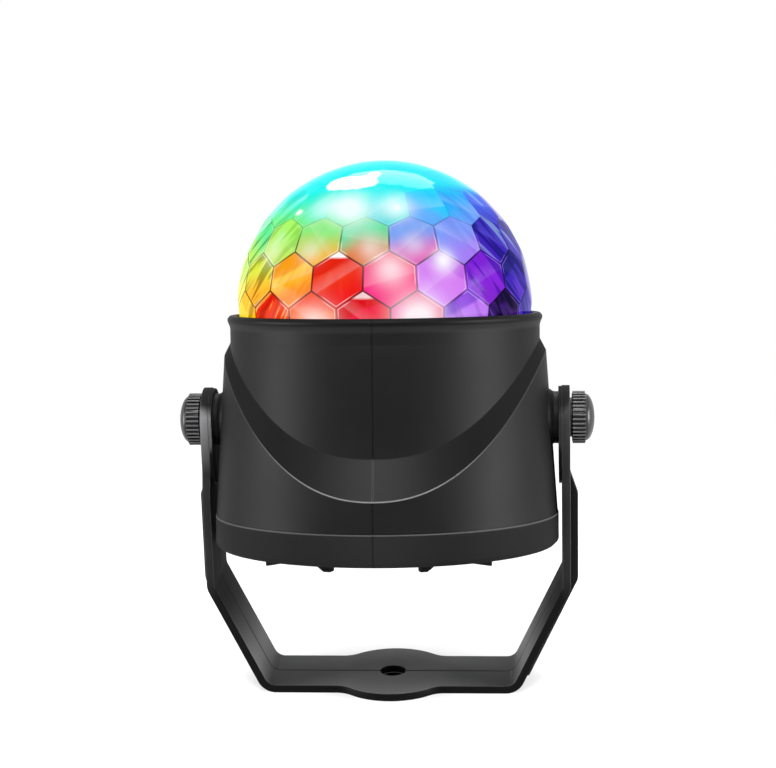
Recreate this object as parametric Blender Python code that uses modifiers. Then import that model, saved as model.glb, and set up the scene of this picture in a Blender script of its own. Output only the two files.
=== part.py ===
"""A small rotating disco light on a folding stand.

A faceted crystal dome turns on top of a round two-part housing, driven by a
geared motor inside. The housing tilts between the arms of a bent steel bracket
and is held there by two thumb screws.

Units are metres and +Z is up. The bracket stands on z = 0. The head is modelled
upright in its own frame, whose z = 0 is the underside of the housing, and an
empty on the tilt axis then leans it back.
"""

import math

import bmesh
import bpy
from mathutils import Vector

# Overall sizes
HEAD_HEIGHT = 0.095
BODY_RADIUS = 0.043
BRACKET_OVERALL_HEIGHT = 0.078
BRACKET_FOOT_SPAN = 0.065
LEAN_ANGLE = math.radians(10.6)

# Gaps and overruns
CLEARANCE = 0.0003
OVERRUN = 0.001
MERGE_DISTANCE = 0.00002
MODIFIER_MERGE = 0.0001
CROWN_STEPS = 4

# Housing shell
BAND_HEIGHT = 0.007
BAND_STEP = 0.0002
BOTTOM_EDGE = 0.0016
WALL = 0.002
TAPER_INSET = 0.0027
TAPER_TOP_HEIGHT = 0.045
RECESS_INSET = 0.0036
NECK_INSET = 0.0044
NECK_RISE = 0.0028
NECK_HEIGHT = 0.0035
LIP_INSET = 0.00375
LIP_FLARE = 0.0022
LIP_ROUND = 0.0007
LIP_EDGE = 0.0006
LIP_WALL = 0.00235
LOWER_LINE_FRONT = 0.0148
LOWER_LINE_DROP = 0.003
LOWER_LINE_POWER = 2.25
CRESCENT_HEIGHT = 0.0097
UPPER_LINE_POWER = 2.4
SHELL_STEPS = 30
FLOOR_LEDGE_INSET = 0.0013
FLOOR_LEDGE_THICKNESS = 0.0018

# Dome
DOME_FIT_SHARE = 0.9756
DOME_WALL = 0.0022
DOME_ROUND_SEGMENTS = 40
ROW_FACETS = 18
ROW_TURN = math.radians(6.7)
ROW_LATITUDES = [math.radians(angle) for angle in (-19.0, -4.0, 11.3, 26.5, 42.0)]
CROWN_ROWS = [(math.radians(57.5), 12), (math.radians(73.0), 6)]

# Base plate and its feet
BASE_PLATE_INSET = 0.0035
BASE_PLATE_THICKNESS = 0.002
FOOT_INSET = 0.0006
FOOT_WIDTH = 0.003
FOOT_HEIGHT = 0.002
FOOT_MIDDLE_HEIGHT = 0.0005
FOOT_START_ANGLE = math.radians(16.0)
FOOT_END_ANGLE = math.radians(44.0)
FOOT_STEPS = 8
FOOT_SWELL_POWER = 1.6

# Screws and the posts that they go into
POST_INSET = 0.0092
POST_RADIUS = 0.0028
POST_BORE = 0.0012
POST_ANGLES = [math.radians(angle) for angle in (56.0, 124.0)]
WEB_THICKNESS = 0.0016
WEB_DROP = 0.0074
SCREW_RADIUS = 0.0009
SCREW_HEAD_RADIUS = 0.0022
SCREW_HEAD_HEIGHT = 0.001
SCREW_CROWN_SHARE = 0.8
SCREW_LENGTH = 0.006

# Bracket
STRAP_THICKNESS = 0.002
STRAP_HALF_WIDTH = 0.010
EAR_RADIUS = 0.008
EAR_STRAIGHT = 0.010
EAR_FLARE = 0.010
ARM_GAP = 0.0009
KNEE_DROP = 0.042
BEND_RADIUS = 0.004
BEND_STEPS = 5
FOOT_DISC_RADIUS = 0.0152
FOOT_DISC_FILLET = 0.006
FOOT_DISC_STEPS = 7
FLARE_STEPS = 4
EAR_STEPS = 9
EAR_TIP_SHARE = 0.96
FOOT_HOLE_RADIUS = 0.00325
EAR_HOLE_RADIUS = 0.0023
RIB_HEIGHT = 0.002
RIB_WIDTH = 0.0018
RIB_START_DROP = 0.0135
RIB_FULL_DROP = 0.0195
RIB_ROOT = 0.0006
RIB_END_HEIGHT = 0.0008
PAD_THICKNESS = 0.0008
PAD_RADIUS = 0.0068
PAD_DROP = 0.009

# Tilt pivot
BOSS_RADIUS = 0.0065
BOSS_DECK_GAP = 0.00055
BOSS_FILLET = 0.0012
BOSS_DEPTH = 0.009
INSERT_RADIUS = 0.004
INSERT_LENGTH = 0.0082
STUD_RADIUS = 0.0019
STUD_SETBACK = 0.0015

# Thumb screws
KNOB_NECK_RADIUS = 0.0049
KNOB_NECK_LENGTH = 0.0005
KNOB_RADIUS = 0.00655
KNOB_RING_LENGTH = 0.0034
KNOB_RIDGES = 36
KNOB_RIDGE_DEPTH = 0.00045
KNOB_CAP_RADIUS = 0.0053
KNOB_CAP_EDGE = 0.0008
KNOB_CAP_CROWN = 0.0014
KNOB_BORE_DEPTH = 0.0036
SPRING_WASHER_RADIUS = 0.0038
SPRING_WASHER_THICKNESS = 0.0005

# Drive
MOTOR_RADIUS = 0.0122
MOTOR_HEIGHT = 0.0123
MOTOR_EDGE = 0.0008
MOTOR_SHAFT_RADIUS = 0.001
MOTOR_SHAFT_SEAT = 0.003
GEAR_MODULE = 0.0006
PINION_TEETH = 12
WHEEL_TEETH = 36
PRESSURE_ANGLE = math.radians(20.0)
GEAR_BACKLASH = 0.00016
WHEEL_ADDENDUM_SHARE = 0.8
PINION_ADDENDUM_SHARE = 1.0
DEDENDUM_SHARE = 1.25
WHEEL_FACE = 0.002
IDLER_AXLE_RADIUS = 0.001
OUTPUT_SHAFT_RADIUS = 0.002
CASE_FLOOR = 0.0015
CASE_WALL = 0.0018
BUSH_ROOM = 0.0017
CASE_CORNER_RADIUS = 0.004
CASE_SCREW_INSET = 0.003
CASE_SCREW_POST = 0.0023
CASE_SCREW_BORE = 0.0011
CASE_SCREW_RADIUS = 0.0008
COVER_THICKNESS = 0.0016
BUSH_RADIUS = 0.0032
BUSH_FLANGE_RADIUS = 0.0042
BUSH_FLANGE = 0.0006
GEAR_END_GAP = 0.0005

# Light deck
DECK_GAP = 0.0004
DECK_THICKNESS = 0.002
DECK_TAP_DEPTH = 0.0014
LED_BOARD_GAP = 0.0076
BOARD_THICKNESS = 0.0012
LED_BOARD_HOLE_RADIUS = 0.004
LED_INSET = 0.0085
LED_RADIUS = 0.0026
LED_HEIGHT = 0.0012
LENS_RADIUS = 0.0032
LENS_HEIGHT = 0.002
LENS_RIM = 0.0006
LENS_GAP = 0.0009
LED_COLOURS = ["red", "green", "blue"]

# Dome carrier
CARRIER_RIM_WIDTH = 0.0023
CARRIER_SPIGOT_GAP = 0.00055
CARRIER_SPIGOT_HEIGHT = 0.0016
CARRIER_THICKNESS = 0.0015
SPOKE_COUNT = 3
SPOKE_WIDTH = 0.004
HUB_RADIUS = 0.0042
HUB_LENGTH = 0.0036
CARRIER_SCREW_HEAD_RADIUS = 0.0028
CARRIER_SCREW_LENGTH = 0.005

# Control board and what is on it
BOARD_STANDOFF = 0.003
BOARD_POST_INSET = 0.0052
BOARD_POST_RADIUS = 0.0025
BOARD_SCREW_LENGTH = 0.0036
BOARD_POST_ANGLES = [math.radians(angle) for angle in (45.0, 225.0)]
CHIP_SIZE = 0.007
CHIP_HEIGHT = 0.0014
CHIP_PLACE = (-0.006, 0.002)
CAPACITOR_RADIUS = 0.0031
CAPACITOR_HEIGHT = 0.0065
CAPACITOR_PLACE = (0.016, 0.007)
MICROPHONE_RADIUS = 0.003
MICROPHONE_HEIGHT = 0.0045
MICROPHONE_INSET = 0.0042
MICROPHONE_ANGLE = math.radians(-28.0)
MICROPHONE_HOLE_RADIUS = 0.0008
JACK_WIDTH = 0.009
JACK_HEIGHT = 0.0066
JACK_LENGTH = 0.0125
JACK_SETBACK = 0.005
JACK_NOSE_RADIUS = 0.003
JACK_SOCKET_RADIUS = 0.0021
JACK_SOCKET_DEPTH = 0.009
JACK_PIN_RADIUS = 0.0006
SWITCH_WIDTH = 0.006
SWITCH_DEPTH = 0.0045
SWITCH_HEIGHT = 0.0055
SWITCH_INSET = 0.0022
ACTUATOR_RADIUS = 0.0012
ACTUATOR_LENGTH = 0.0008
BUTTON_ANGLE = math.radians(28.0)
BUTTON_RADIUS = 0.0027
BUTTON_FLANGE_RADIUS = 0.0036
BUTTON_FLANGE = 0.0008
BUTTON_STEM_RADIUS = 0.0013
BUTTON_TRAVEL = 0.0006
BUTTON_PROUD = 0.0005

# Wires
MOTOR_LEAD_RADIUS = 0.0005
MOTOR_LEAD_SIDE = 0.004
MOTOR_LEAD_REACH = 0.009
LEAD_ROOM = 0.0079
HARNESS_RADIUS = 0.0008
HARNESS_HOLE_RADIUS = 0.0014
HARNESS_GAP = 0.0035
HARNESS_BEND = 0.0055
LEAD_STEPS = 3

# Worked out from the sizes above: the stack, from the floor of the housing up to its lip
BASE_PLATE_TOP = CLEARANCE + BASE_PLATE_THICKNESS
FLOOR_LEDGE_BOTTOM = BASE_PLATE_TOP + CLEARANCE
CONTROL_BOARD_HEIGHT = BASE_PLATE_TOP + BOARD_STANDOFF
CONTROL_BOARD_TOP = CONTROL_BOARD_HEIGHT + BOARD_THICKNESS
ON_BOARD = CONTROL_BOARD_TOP + CLEARANCE
REAR_CONTROL_HEIGHT = ON_BOARD + JACK_HEIGHT / 2
MOTOR_BOTTOM = ON_BOARD + LEAD_ROOM
MOTOR_TOP = MOTOR_BOTTOM + MOTOR_HEIGHT
CASE_BOTTOM = MOTOR_TOP + CLEARANCE
WHEEL_LEVEL = CASE_BOTTOM + CASE_FLOOR + GEAR_END_GAP
WHEEL_TOP = WHEEL_LEVEL + WHEEL_FACE
OUTPUT_LEVEL = WHEEL_TOP + GEAR_END_GAP
OUTPUT_TOP = OUTPUT_LEVEL + WHEEL_FACE
CASE_TOP = OUTPUT_TOP + BUSH_ROOM
COVER_BOTTOM = CASE_TOP + CLEARANCE
COVER_TOP = COVER_BOTTOM + COVER_THICKNESS
DECK_HEIGHT = COVER_TOP + CLEARANCE
DECK_TOP = DECK_HEIGHT + DECK_THICKNESS
POST_TOP = DECK_HEIGHT - CLEARANCE
WEB_TOP = POST_TOP - WEB_DROP
PIVOT_HEIGHT = DECK_HEIGHT - BOSS_DECK_GAP - BOSS_RADIUS
LED_BOARD_HEIGHT = DECK_TOP + CLEARANCE
LED_BASE = LED_BOARD_HEIGHT + BOARD_THICKNESS + CLEARANCE
LENS_BASE = LED_BASE + LED_HEIGHT + CLEARANCE
CARRIER_BOTTOM = LENS_BASE + LENS_HEIGHT + LENS_GAP
CARRIER_TOP = CARRIER_BOTTOM + CARRIER_THICKNESS
HUB_BOTTOM = CARRIER_TOP - HUB_LENGTH
DOME_RIM_HEIGHT = CARRIER_TOP + CLEARANCE
NECK_BOTTOM = DOME_RIM_HEIGHT + NECK_RISE
NECK_TOP = NECK_BOTTOM + NECK_HEIGHT
LIP_HEIGHT = NECK_TOP + LIP_FLARE
LIP_TOP = LIP_HEIGHT + LIP_ROUND
LOWER_LINE_SIDE = NECK_BOTTOM - LOWER_LINE_DROP
UPPER_LINE_FRONT = LOWER_LINE_FRONT + CRESCENT_HEIGHT

# Worked out: the housing's radii and what goes round inside it
TAPER_TOP_RADIUS = BODY_RADIUS - TAPER_INSET
RECESS_RADIUS = BODY_RADIUS - RECESS_INSET
NECK_RADIUS = BODY_RADIUS - NECK_INSET
LIP_RADIUS = BODY_RADIUS - LIP_INSET
LIP_INNER_RADIUS = LIP_RADIUS - LIP_WALL
BASE_PLATE_RADIUS = BODY_RADIUS - BASE_PLATE_INSET
FLOOR_RECESS_RADIUS = BASE_PLATE_RADIUS + CLEARANCE
FLOOR_LEDGE_RADIUS = BASE_PLATE_RADIUS - FLOOR_LEDGE_INSET
FOOT_OUTER_RADIUS = BASE_PLATE_RADIUS - FOOT_INSET
FOOT_INNER_RADIUS = FOOT_OUTER_RADIUS - FOOT_WIDTH
POST_CIRCLE = BODY_RADIUS - POST_INSET
DECK_RADIUS = LIP_INNER_RADIUS - DECK_GAP
LED_BOARD_RADIUS = POST_CIRCLE - SCREW_HEAD_RADIUS - LED_BOARD_GAP
LED_CIRCLE = LED_BOARD_RADIUS - LED_INSET
HARNESS_CIRCLE = LED_BOARD_RADIUS + HARNESS_GAP
CONTROL_BOARD_RADIUS = POST_CIRCLE - POST_RADIUS - CLEARANCE
BOARD_POST_CIRCLE = CONTROL_BOARD_RADIUS - BOARD_POST_INSET
MICROPHONE_CIRCLE = CONTROL_BOARD_RADIUS - MICROPHONE_INSET
SWITCH_CIRCLE = CONTROL_BOARD_RADIUS - SWITCH_INSET
JACK_BACK_Y = BODY_RADIUS - JACK_SETBACK

# Worked out: the dome and its carrier
DOME_FACET_RADIUS = LIP_INNER_RADIUS * DOME_FIT_SHARE
DOME_CENTRE = HEAD_HEIGHT - DOME_FACET_RADIUS
DOME_RIM_DROP = DOME_CENTRE - DOME_RIM_HEIGHT
DOME_HOLLOW_RADIUS = DOME_FACET_RADIUS - DOME_WALL
CARRIER_RIM_RADIUS = math.sqrt(DOME_FACET_RADIUS ** 2 - DOME_RIM_DROP ** 2)
CARRIER_SPIGOT_RADIUS = math.sqrt(DOME_HOLLOW_RADIUS ** 2 - DOME_RIM_DROP ** 2) - CARRIER_SPIGOT_GAP
CARRIER_INNER_RADIUS = CARRIER_SPIGOT_RADIUS - CARRIER_RIM_WIDTH

# Worked out: the bracket and the pivots
PIVOT_WORLD_HEIGHT = BRACKET_OVERALL_HEIGHT - EAR_RADIUS
ARM_INNER_X = BODY_RADIUS + ARM_GAP
ARM_OUTER_X = ARM_INNER_X + STRAP_THICKNESS
BOSS_OUTER_X = ARM_INNER_X - PAD_THICKNESS - CLEARANCE
BOSS_INNER_X = BODY_RADIUS - BOSS_DEPTH
STUD_INNER_X = BOSS_INNER_X + STUD_SETBACK

# Worked out: the gears
PINION_PITCH = GEAR_MODULE * PINION_TEETH / 2
WHEEL_PITCH = GEAR_MODULE * WHEEL_TEETH / 2
GEAR_DISTANCE = PINION_PITCH + WHEEL_PITCH
WHEEL_TIP = WHEEL_PITCH + GEAR_MODULE * WHEEL_ADDENDUM_SHARE
CASE_HALF_WIDTH = WHEEL_TIP + GEAR_END_GAP + CASE_WALL
CASE_BACK_Y = GEAR_DISTANCE + CASE_HALF_WIDTH
SIDE_PARTS = {"right": 1, "left": -1}


def clear_scene():
    """Remove whatever the open file holds."""
    for item in list(bpy.data.objects):
        bpy.data.objects.remove(item, do_unlink=True)


def new_collection(name):
    """A collection linked to the scene."""
    collection = bpy.data.collections.new(name)
    bpy.context.scene.collection.children.link(collection)
    return collection


clear_scene()
PARTS = new_collection("led_disco_ball_light")
CUTTERS = new_collection("cutters")


def finish(name, colour, roughness, metallic=0.0, alpha=1.0):
    """A Principled material."""
    made = bpy.data.materials.new(name)
    made.use_nodes = True
    shader = made.node_tree.nodes["Principled BSDF"]
    shader.inputs["Base Color"].default_value = (*colour, 1.0)
    shader.inputs["Roughness"].default_value = roughness
    shader.inputs["Metallic"].default_value = metallic
    shader.inputs["Alpha"].default_value = alpha
    return made


HOUSING_PLASTIC = finish("housing_plastic", (0.022, 0.022, 0.024), 0.42)
BASE_PLASTIC = finish("base_plastic", (0.018, 0.018, 0.019), 0.55)
FOOT_RUBBER = finish("foot_rubber", (0.012, 0.012, 0.012), 0.8)
BRACKET_PAINT = finish("bracket_paint", (0.035, 0.035, 0.037), 0.45, 0.3)
KNOB_PLASTIC = finish("knob_plastic", (0.015, 0.015, 0.016), 0.4)
STEEL = finish("steel", (0.55, 0.55, 0.56), 0.3, 1.0)
BRASS = finish("brass", (0.72, 0.52, 0.24), 0.3, 1.0)
ALUMINIUM = finish("aluminium", (0.72, 0.73, 0.74), 0.4, 1.0)
CRYSTAL = finish("crystal", (0.75, 0.9, 0.95), 0.04, 0.0, 0.45)
CARRIER_PLASTIC = finish("carrier_plastic", (0.6, 0.6, 0.58), 0.5)
GEAR_PLASTIC = finish("gear_plastic", (0.78, 0.78, 0.72), 0.45)
CASE_PLASTIC = finish("case_plastic", (0.5, 0.5, 0.48), 0.5)
BOARD_GREEN = finish("board_green", (0.02, 0.16, 0.06), 0.4)
BOARD_WHITE = finish("board_white", (0.75, 0.76, 0.74), 0.35)
CHIP_BLACK = finish("chip_black", (0.01, 0.01, 0.012), 0.5)
CAPACITOR_SLEEVE = finish("capacitor_sleeve", (0.03, 0.04, 0.12), 0.35)
LENS_CLEAR = finish("lens_clear", (0.9, 0.93, 0.95), 0.05, 0.0, 0.5)
RED_WIRE = finish("red_wire", (0.5, 0.02, 0.02), 0.45)
BLACK_WIRE = finish("black_wire", (0.01, 0.01, 0.01), 0.45)
WHITE_WIRE = finish("white_wire", (0.7, 0.7, 0.68), 0.45)
LED_FINISHES = {
    "red": finish("led_red", (0.8, 0.05, 0.03), 0.3),
    "green": finish("led_green", (0.05, 0.7, 0.1), 0.3),
    "blue": finish("led_blue", (0.04, 0.12, 0.85), 0.3),
}


def empty(name, parent=None, location=(0, 0, 0), rotation=(0, 0, 0)):
    """A frame for other objects, such as a joint's axis."""
    frame = bpy.data.objects.new(name, None)
    PARTS.objects.link(frame)
    frame.parent = parent
    frame.location = location
    frame.rotation_euler = rotation
    return frame


def place(item, paint=None, parent=None, location=(0, 0, 0), rotation=(0, 0, 0)):
    """Link an object to the parts and give it its material and its place."""
    PARTS.objects.link(item)
    if paint is not None:
        item.data.materials.clear()
        item.data.materials.append(paint)
    item.parent = parent
    item.location = location
    item.rotation_euler = rotation
    return item


def mesh_object(name, shape):
    """An object that holds a finished bmesh."""
    mesh = bpy.data.meshes.new(name)
    shape.to_mesh(mesh)
    shape.free()
    mesh.shade_smooth()
    mesh.set_sharp_from_angle(angle=math.radians(35.0))
    return bpy.data.objects.new(name, mesh)


def box(name, low, high):
    """A box between two corners."""
    shape = bmesh.new()
    bmesh.ops.create_cube(shape, size=1)
    size = [top - bottom for bottom, top in zip(low, high)]
    middle = [(top + bottom) / 2 for bottom, top in zip(low, high)]
    bmesh.ops.scale(shape, vec=size, verts=shape.verts)
    bmesh.ops.translate(shape, vec=middle, verts=shape.verts)
    return mesh_object(name, shape)


def rod(name, radius, bottom, top, segments=20, centre=(0, 0)):
    """An upright cylinder."""
    shape = bmesh.new()
    bmesh.ops.create_cone(shape, cap_ends=True, segments=segments, radius1=radius,
                          radius2=radius, depth=top - bottom)
    middle = (centre[0], centre[1], (top + bottom) / 2)
    bmesh.ops.translate(shape, vec=middle, verts=shape.verts)
    return mesh_object(name, shape)


def turned(name, profile, segments=28, closed=False):
    """A profile of (radius, height) points, run down its outer side, turned about Z."""
    mesh = bpy.data.meshes.new(name)
    points = [(radius, 0, height) for radius, height in profile]
    edges = [(index, index + 1) for index in range(len(points) - 1)]
    if closed:
        edges.append((len(points) - 1, 0))
    mesh.from_pydata(points, edges, [])
    item = bpy.data.objects.new(name, mesh)
    screw = item.modifiers.new("turn", "SCREW")
    screw.steps = segments
    screw.render_steps = segments
    screw.use_merge_vertices = True
    screw.merge_threshold = MERGE_DISTANCE
    screw.use_smooth_shade = True
    return item


def made_mesh(item):
    """The same object with its curve or its modifiers made a plain welded mesh."""
    PARTS.objects.link(item)
    bpy.context.view_layer.update()
    graph = bpy.context.evaluated_depsgraph_get()
    mesh = bpy.data.meshes.new_from_object(item.evaluated_get(graph))
    name = item.name
    place_of_item = item.matrix_world.copy()
    bpy.data.objects.remove(item, do_unlink=True)
    shape = bmesh.new()
    shape.from_mesh(mesh)
    bmesh.ops.remove_doubles(shape, verts=shape.verts, dist=MERGE_DISTANCE)
    shape.to_mesh(mesh)
    shape.free()
    mesh.name = name
    made = bpy.data.objects.new(name, mesh)
    made.matrix_world = place_of_item
    return made


def slab(name, outlines, bottom, top):
    """Flat outlines in XY, the later ones holes in the first, made a solid plate."""
    curve = bpy.data.curves.new(name, "CURVE")
    curve.dimensions = "2D"
    curve.fill_mode = "BOTH"
    curve.extrude = (top - bottom) / 2
    for outline in outlines:
        spline = curve.splines.new("POLY")
        spline.points.add(len(outline) - 1)
        for point, (x, y) in zip(spline.points, outline):
            point.co = (x, y, 0, 1)
        spline.use_cyclic_u = True
    made = made_mesh(bpy.data.objects.new(name, curve))
    for vertex in made.data.vertices:
        vertex.co.z += (top + bottom) / 2
    return made


def wire(name, route, radius):
    """A round lead along a list of points, with closed ends."""
    curve = bpy.data.curves.new(name, "CURVE")
    curve.dimensions = "3D"
    curve.bevel_depth = radius
    curve.bevel_resolution = 2
    curve.use_fill_caps = True
    spline = curve.splines.new("POLY")
    spline.points.add(len(route) - 1)
    for point, spot in zip(spline.points, route):
        point.co = (*spot, 1)
    return made_mesh(bpy.data.objects.new(name, curve))


def boolean(target, tool, operation, parent=None, location=(0, 0, 0), rotation=(0, 0, 0)):
    """Cut or join a target by a tool, which stays in the cutters' collection."""
    CUTTERS.objects.link(tool)
    tool.parent = parent
    tool.location = location
    tool.rotation_euler = rotation
    tool.hide_render = True
    tool.display_type = "WIRE"
    step = target.modifiers.new(tool.name, "BOOLEAN")
    step.operation = operation
    step.solver = "EXACT"
    step.object = tool
    return tool


def cut(target, tool, **where):
    return boolean(target, tool, "DIFFERENCE", **where)


def join(target, tool, **where):
    return boolean(target, tool, "UNION", **where)


def polar(radius, angle):
    """A point on a circle, the angle counted from +X."""
    return (radius * math.cos(angle), radius * math.sin(angle))


def circle(radius, segments=32, centre=(0, 0)):
    """The points of a circle."""
    points = []
    for index in range(segments):
        x, y = polar(radius, math.tau * index / segments)
        points.append((centre[0] + x, centre[1] + y))
    return points


def rounded_path(corners, radius, steps):
    """Points and directions along a path whose inner corners are rounded by arcs."""
    path = [Vector(corner) for corner in corners]
    heading = (path[1] - path[0]).normalized()
    stations = [(path[0], heading)]
    for before, corner, after in zip(path, path[1:], path[2:]):
        arriving = (corner - before).normalized()
        leaving = (after - corner).normalized()
        turn = math.atan2(arriving.cross(leaving), arriving.dot(leaving))
        reach = radius * math.tan(abs(turn) / 2)
        centre = corner - arriving * reach + perpendicular(arriving) * math.copysign(radius, turn)
        for step in range(steps + 1):
            angle = turn * step / steps
            direction = rotated(arriving, angle)
            side = perpendicular(direction) * math.copysign(radius, turn)
            stations.append((centre - side, direction))
    stations.append((path[-1], (path[-1] - path[-2]).normalized()))
    return stations


def perpendicular(vector):
    """The vector turned a quarter turn to its left."""
    return Vector((-vector.y, vector.x))


def rotated(vector, angle):
    """The vector turned by an angle."""
    cosine = math.cos(angle)
    sine = math.sin(angle)
    return Vector((vector.x * cosine - vector.y * sine, vector.x * sine + vector.y * cosine))


def screw_mesh(name, length, head_radius=SCREW_HEAD_RADIUS, radius=SCREW_RADIUS):
    """A pan-head screw with its head above z = 0 and its shank below."""
    profile = [
        (0, SCREW_HEAD_HEIGHT),
        (head_radius * SCREW_CROWN_SHARE, SCREW_HEAD_HEIGHT),
        (head_radius, 0),
        (radius, 0),
        (radius, -length),
        (0, -length),
    ]
    return made_mesh(turned(name, profile, segments=12))


def screws(name, length, places, parent, flip=False, **sizes):
    """Identical steel screws, each its own object, all on one mesh."""
    first = screw_mesh(name + "_pattern", length, **sizes)
    for number, spot in enumerate(places, start=1):
        copy = bpy.data.objects.new(f"{name}_{number}" if len(places) > 1 else name, first.data)
        place(copy, STEEL, parent, spot, (math.pi if flip else 0, 0, 0))
    bpy.data.objects.remove(first, do_unlink=True)


# The head's frames: the tilt axis, the head's own frame, and the dome's axis
FRONT_REACH = (BODY_RADIUS * math.cos(LEAN_ANGLE)
               + (PIVOT_HEIGHT - BOTTOM_EDGE) * math.sin(LEAN_ANGLE))
BACK_REACH = (LIP_RADIUS * math.cos(LEAN_ANGLE)
              + (LIP_HEIGHT - PIVOT_HEIGHT) * math.sin(LEAN_ANGLE))
PIVOT_Y = (FRONT_REACH - BACK_REACH) / 2
tilt_axis = empty("tilt_axis", None, (0, PIVOT_Y, PIVOT_WORLD_HEIGHT), (-LEAN_ANGLE, 0, 0))
head = empty("head_frame", tilt_axis, (0, 0, -PIVOT_HEIGHT))
dome_axis = empty("dome_axis", head, (0, 0, DOME_CENTRE))
idler_axis = empty("idler_axis", head, (0, GEAR_DISTANCE, 0))
side_axes = {}
for side_name, side_sign in SIDE_PARTS.items():
    side_axes[side_name] = empty(side_name + "_screw_axis", head, (0, 0, PIVOT_HEIGHT),
                                 (0, side_sign * math.pi / 2, 0))
button_axis = empty("button_axis", head, (0, 0, REAR_CONTROL_HEIGHT), (-math.pi / 2, 0, BUTTON_ANGLE))


# Housing
def taper_radius(height):
    """Outer radius of the lower wall, which narrows upwards."""
    bottom_radius = BODY_RADIUS - BAND_STEP
    share = (height - BAND_HEIGHT) / (TAPER_TOP_HEIGHT - BAND_HEIGHT)
    return bottom_radius + (TAPER_TOP_RADIUS - bottom_radius) * share


def recess_radius(height):
    """Outer radius of the set-back upper wall."""
    share = (NECK_BOTTOM - height) / (NECK_BOTTOM - UPPER_LINE_FRONT)
    return NECK_RADIUS + (RECESS_RADIUS - NECK_RADIUS) * share


def lower_line(angle):
    """Height of the sweeping edge where the lower wall ends, the angle counted from the front."""
    rise = abs(math.sin(angle)) ** LOWER_LINE_POWER
    return LOWER_LINE_FRONT + (LOWER_LINE_SIDE - LOWER_LINE_FRONT) * rise


def upper_line(angle):
    """Height where the sloping face meets the set-back wall."""
    rise = abs(math.sin(angle)) ** UPPER_LINE_POWER
    return UPPER_LINE_FRONT + (NECK_BOTTOM - UPPER_LINE_FRONT) * rise


def shell_section(angle):
    """The wall's closed section at one angle: up the outside and down the inside."""
    low = lower_line(angle)
    high = upper_line(angle)
    ledge_top = FLOOR_LEDGE_BOTTOM + FLOOR_LEDGE_THICKNESS
    neck_wall = NECK_RADIUS - LIP_INNER_RADIUS
    return [
        (BODY_RADIUS - BOTTOM_EDGE, 0),
        (BODY_RADIUS, BOTTOM_EDGE),
        (BODY_RADIUS, BAND_HEIGHT - BAND_STEP),
        (taper_radius(BAND_HEIGHT), BAND_HEIGHT),
        (taper_radius(low), low),
        (recess_radius(high), high),
        (NECK_RADIUS, NECK_BOTTOM + BAND_STEP),
        (NECK_RADIUS, NECK_TOP),
        (LIP_RADIUS, LIP_HEIGHT - LIP_EDGE),
        (LIP_RADIUS, LIP_HEIGHT),
        (LIP_RADIUS - LIP_EDGE, LIP_TOP),
        (LIP_INNER_RADIUS, LIP_TOP),
        (LIP_INNER_RADIUS, NECK_BOTTOM),
        (recess_radius(high) - neck_wall, high),
        (taper_radius(low) - WALL, low),
        (taper_radius(ledge_top) - WALL, ledge_top),
        (FLOOR_LEDGE_RADIUS, ledge_top),
        (FLOOR_LEDGE_RADIUS, FLOOR_LEDGE_BOTTOM),
        (FLOOR_RECESS_RADIUS, FLOOR_LEDGE_BOTTOM),
        (FLOOR_RECESS_RADIUS, 0),
    ]


def half_shell(name, sign):
    """One moulded half of the housing, lofted round from the front seam to the back seam."""
    shape = bmesh.new()
    rings = []
    for step in range(SHELL_STEPS + 1):
        angle = math.pi * step / SHELL_STEPS
        ring = []
        for radius, height in shell_section(angle):
            x = max(radius * math.sin(angle), CLEARANCE / 2)
            ring.append(shape.verts.new((sign * x, -radius * math.cos(angle), height)))
        rings.append(ring)
    for ring, following in zip(rings, rings[1:]):
        for index in range(len(ring)):
            after = (index + 1) % len(ring)
            shape.faces.new((ring[index], following[index], following[after], ring[after]))
    shape.faces.new(rings[0])
    shape.faces.new(rings[-1])
    bmesh.ops.recalc_face_normals(shape, faces=shape.faces)
    return place(mesh_object(name, shape), HOUSING_PLASTIC, head)


def boss_profile():
    """The pivot boss, from its outer face down to its root inside the wall."""
    root = taper_radius(PIVOT_HEIGHT)
    return [
        (0, BOSS_OUTER_X),
        (BOSS_RADIUS, BOSS_OUTER_X),
        (BOSS_RADIUS, root + BOSS_FILLET / 2),
        (BOSS_RADIUS + BOSS_FILLET, root - BOSS_FILLET),
        (BOSS_RADIUS, root - WALL - BOSS_FILLET),
        (BOSS_RADIUS, BOSS_INNER_X),
        (0, BOSS_INNER_X),
    ]


def add_screw_post(shell, sign, angle, number):
    """A post for the floor and deck screws, tied to the wall by a web."""
    name = f"{shell.name}_post_{number}"
    x = sign * POST_CIRCLE * math.sin(angle)
    y = -POST_CIRCLE * math.cos(angle)
    join(shell, rod(name, POST_RADIUS, FLOOR_LEDGE_BOTTOM, POST_TOP), parent=head, location=(x, y, 0))
    reach = taper_radius(WEB_TOP) - WALL / 2
    web = box(name + "_web", (0, -WEB_THICKNESS / 2, FLOOR_LEDGE_BOTTOM + OVERRUN),
              (reach - POST_CIRCLE, WEB_THICKNESS / 2, WEB_TOP))
    join(shell, web, parent=head, location=(x, y, 0), rotation=(0, 0, math.atan2(y, x)))
    bore = rod(name + "_bore", POST_BORE, FLOOR_LEDGE_BOTTOM - OVERRUN, POST_TOP + OVERRUN, segments=12)
    cut(shell, bore, parent=head, location=(x, y, 0))


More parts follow.
